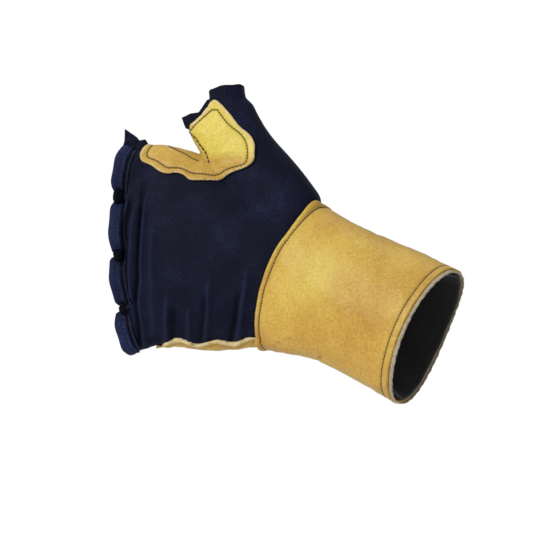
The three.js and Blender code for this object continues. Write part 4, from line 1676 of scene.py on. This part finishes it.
# Place from the middle of the glove in metres, width in metres and power in watts.
LIGHTS = (
    {"name": "key_light", "place": (-0.8, -0.85, 0.7), "width": 0.5, "power": 13},
    {"name": "fill_light", "place": (0.9, -1.2, 0.1), "width": 0.9, "power": 2},
    {"name": "top_light", "place": (0.1, 0.2, 1.3), "width": 0.8, "power": 4},
)
FLOOR_HALF = 1.1
FLOOR_DROP = 0.27


def build_stage():
    """The camera square on to the back of the hand, three soft lights and a white surround."""
    right = PICTURE_SIDE / 2 - ORIGIN_PIXEL[0]
    up = ORIGIN_PIXEL[1] - PICTURE_SIDE / 2
    centre = Vector((right * PIXEL, SUBJECT_DEPTH, up * PIXEL))
    camera_data = bpy.data.cameras.new("portrait_camera")
    camera_data.sensor_width = SENSOR
    camera_data.lens = SENSOR * CAMERA_AWAY / (PICTURE_SIDE * PIXEL)
    camera_data.clip_start, camera_data.clip_end = 0.1, 20
    camera = new_piece("portrait_camera", camera_data)
    camera.location = centre - Vector((0, CAMERA_AWAY, 0))
    camera.rotation_euler = (math.pi / 2, 0, 0)
    bpy.context.scene.camera = camera
    build_floor(centre)
    for lamp in LIGHTS:
        light_data = bpy.data.lights.new(lamp["name"], "AREA")
        light_data.size = lamp["width"]
        light_data.energy = lamp["power"]
        light = new_piece(lamp["name"], light_data)
        light.location = centre + Vector(lamp["place"])
        light.visible_camera = False
        light.rotation_euler = (-Vector(lamp["place"])).to_track_quat("-Z", "Y").to_euler()
    bpy.context.scene.view_settings.view_transform = "Standard"
    world = bpy.data.worlds.new("studio")
    world.use_nodes = True
    bpy.context.scene.world = world
    tree = world.node_tree
    seen = shader_node(tree, "ShaderNodeLightPath").outputs["Is Camera Ray"]
    strength = plus(tree, times(tree, seen, BACKDROP_GLOW - AMBIENT), AMBIENT)
    tree.nodes["Background"].inputs["Color"].default_value = (1, 1, 1, 1)
    joined(tree, strength, tree.nodes["Background"].inputs["Strength"])


def build_floor(centre):
    """A pale paper floor, short enough to leave the glove open to view from every side."""
    corners = ((-1, -1), (1, -1), (1, 1), (-1, 1))
    points = [centre + Vector((x * FLOOR_HALF, y * FLOOR_HALF, -FLOOR_DROP)) for x, y in corners]
    piece = new_piece("studio_floor", mesh_from("studio_floor", points, [(0, 1, 2, 3)]))
    material, tree, shader = new_material("pale_paper")
    coords = own_coords(tree)
    colour = colours().backdrop
    fibre = noise_value(tree, coords, 6, 2)
    paper = ramp(tree, fibre, ((0.3, scaled(colour, 0.985)), (0.7, tuple(colour))))
    joined(tree, paper, shader.inputs["Base Color"])
    shader.inputs["Roughness"].default_value = 0.95
    piece.data.materials.append(material)
    piece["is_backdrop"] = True


# Operators, one for each piece or group of like pieces

class GLOVE_OT_hand_shell(bpy.types.Operator):
    """Make the hollow knit shell of the hand and thumb"""
    bl_idname = "glove.hand_shell"
    bl_label = "Knit shell"

    def execute(self, context):
        FORM_CACHE.clear()
        build_hand_shell()
        return {"FINISHED"}


class GLOVE_OT_hems(bpy.types.Operator):
    """Make the turned hems of the five openings"""
    bl_idname = "glove.hems"
    bl_label = "Hems"

    def execute(self, context):
        for digit in DIGITS:
            if digit["name"] == "thumb":
                build_hem(digit, "navy_knit", 0.12)
            else:
                build_hem(digit, "hem_knit", 1.0)
        return {"FINISHED"}


class GLOVE_OT_gathers(bpy.types.Operator):
    """Make the bunched tacks between the openings"""
    bl_idname = "glove.gathers"
    bl_label = "Gathers"

    def execute(self, context):
        for gather in GATHERS:
            build_gather(gather)
        return {"FINISHED"}


class GLOVE_OT_seam_tabs(bpy.types.Operator):
    """Make the two seam corners that stand out"""
    bl_idname = "glove.seam_tabs"
    bl_label = "Seam tabs"

    def execute(self, context):
        flat_tab("knit_index_tab", INDEX_TAB_OUTLINE, "index_seam_tab", -0.0006)
        flat_tab("knit_thumb_tab", THUMB_TAB_OUTLINE, "thumb_seam_tab", 0.0005)
        return {"FINISHED"}


class GLOVE_OT_web_patch(bpy.types.Operator):
    """Make the leather patch over the thumb web"""
    bl_idname = "glove.web_patch"
    bl_label = "Web patch"

    def execute(self, context):
        build_web_patch()
        return {"FINISHED"}


class GLOVE_OT_palm_panel(bpy.types.Operator):
    """Make the leather palm with its wavy lap round the edge of the hand"""
    bl_idname = "glove.palm_panel"
    bl_label = "Palm panel"

    def execute(self, context):
        build_palm_panel()
        return {"FINISHED"}


class GLOVE_OT_cuff(bpy.types.Operator):
    """Make the leather cuff with its rolled rim and raw mouth edge"""
    bl_idname = "glove.cuff"
    bl_label = "Cuff"

    def execute(self, context):
        build_cuff()
        build_raw_edge()
        return {"FINISHED"}


class GLOVE_OT_cuff_lining(bpy.types.Operator):
    """Make the black lining in the cuff"""
    bl_idname = "glove.cuff_lining"
    bl_label = "Cuff lining"

    def execute(self, context):
        build_cuff_lining()
        return {"FINISHED"}


class GLOVE_OT_stitches(bpy.types.Operator):
    """Sew the leather and the hems"""
    bl_idname = "glove.stitches"
    bl_label = "Stitches"

    def execute(self, context):
        build_leather_stitches()
        build_hem_stitches()
        return {"FINISHED"}


class GLOVE_OT_stage(bpy.types.Operator):
    """Set the camera, the lights and the pale floor"""
    bl_idname = "glove.stage"
    bl_label = "Studio"

    def execute(self, context):
        build_stage()
        return {"FINISHED"}


OPERATORS = (
    GLOVE_OT_stage, GLOVE_OT_hand_shell, GLOVE_OT_hems, GLOVE_OT_gathers, GLOVE_OT_seam_tabs,
    GLOVE_OT_web_patch, GLOVE_OT_palm_panel, GLOVE_OT_cuff, GLOVE_OT_cuff_lining, GLOVE_OT_stitches,
)


class GLOVE_PT_panel(bpy.types.Panel):
    """Lists the glove's sizes, colours and pieces"""
    bl_label = "Glove"
    bl_idname = "GLOVE_PT_panel"
    bl_space_type = "VIEW_3D"
    bl_region_type = "UI"
    bl_category = "Glove"

    def draw(self, context):
        for group in (context.scene.glove_sizes, context.scene.glove_colours):
            box = self.layout.box()
            for name in group.bl_rna.properties.keys():
                if name not in ("rna_type", "name"):
                    box.prop(group, name)
        for operator in OPERATORS:
            self.layout.operator(operator.bl_idname)


CLASSES = (GloveSizes, GloveColours, *OPERATORS, GLOVE_PT_panel)


def register():
    for kind in CLASSES:
        bpy.utils.register_class(kind)
    bpy.types.Scene.glove_sizes = bpy.props.PointerProperty(type=GloveSizes)
    bpy.types.Scene.glove_colours = bpy.props.PointerProperty(type=GloveColours)


def unregister():
    del bpy.types.Scene.glove_colours
    del bpy.types.Scene.glove_sizes
    for kind in reversed(CLASSES):
        bpy.utils.unregister_class(kind)


def main():
    register()
    for operator in OPERATORS:
        group, name = operator.bl_idname.split(".")
        getattr(getattr(bpy.ops, group), name)()
    boxes = {"cad": CAD_BOX, "visual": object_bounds()}
    plain = {name: [list(corner) for corner in box] for name, box in boxes.items()}


if __name__ == "__main__":
    main()
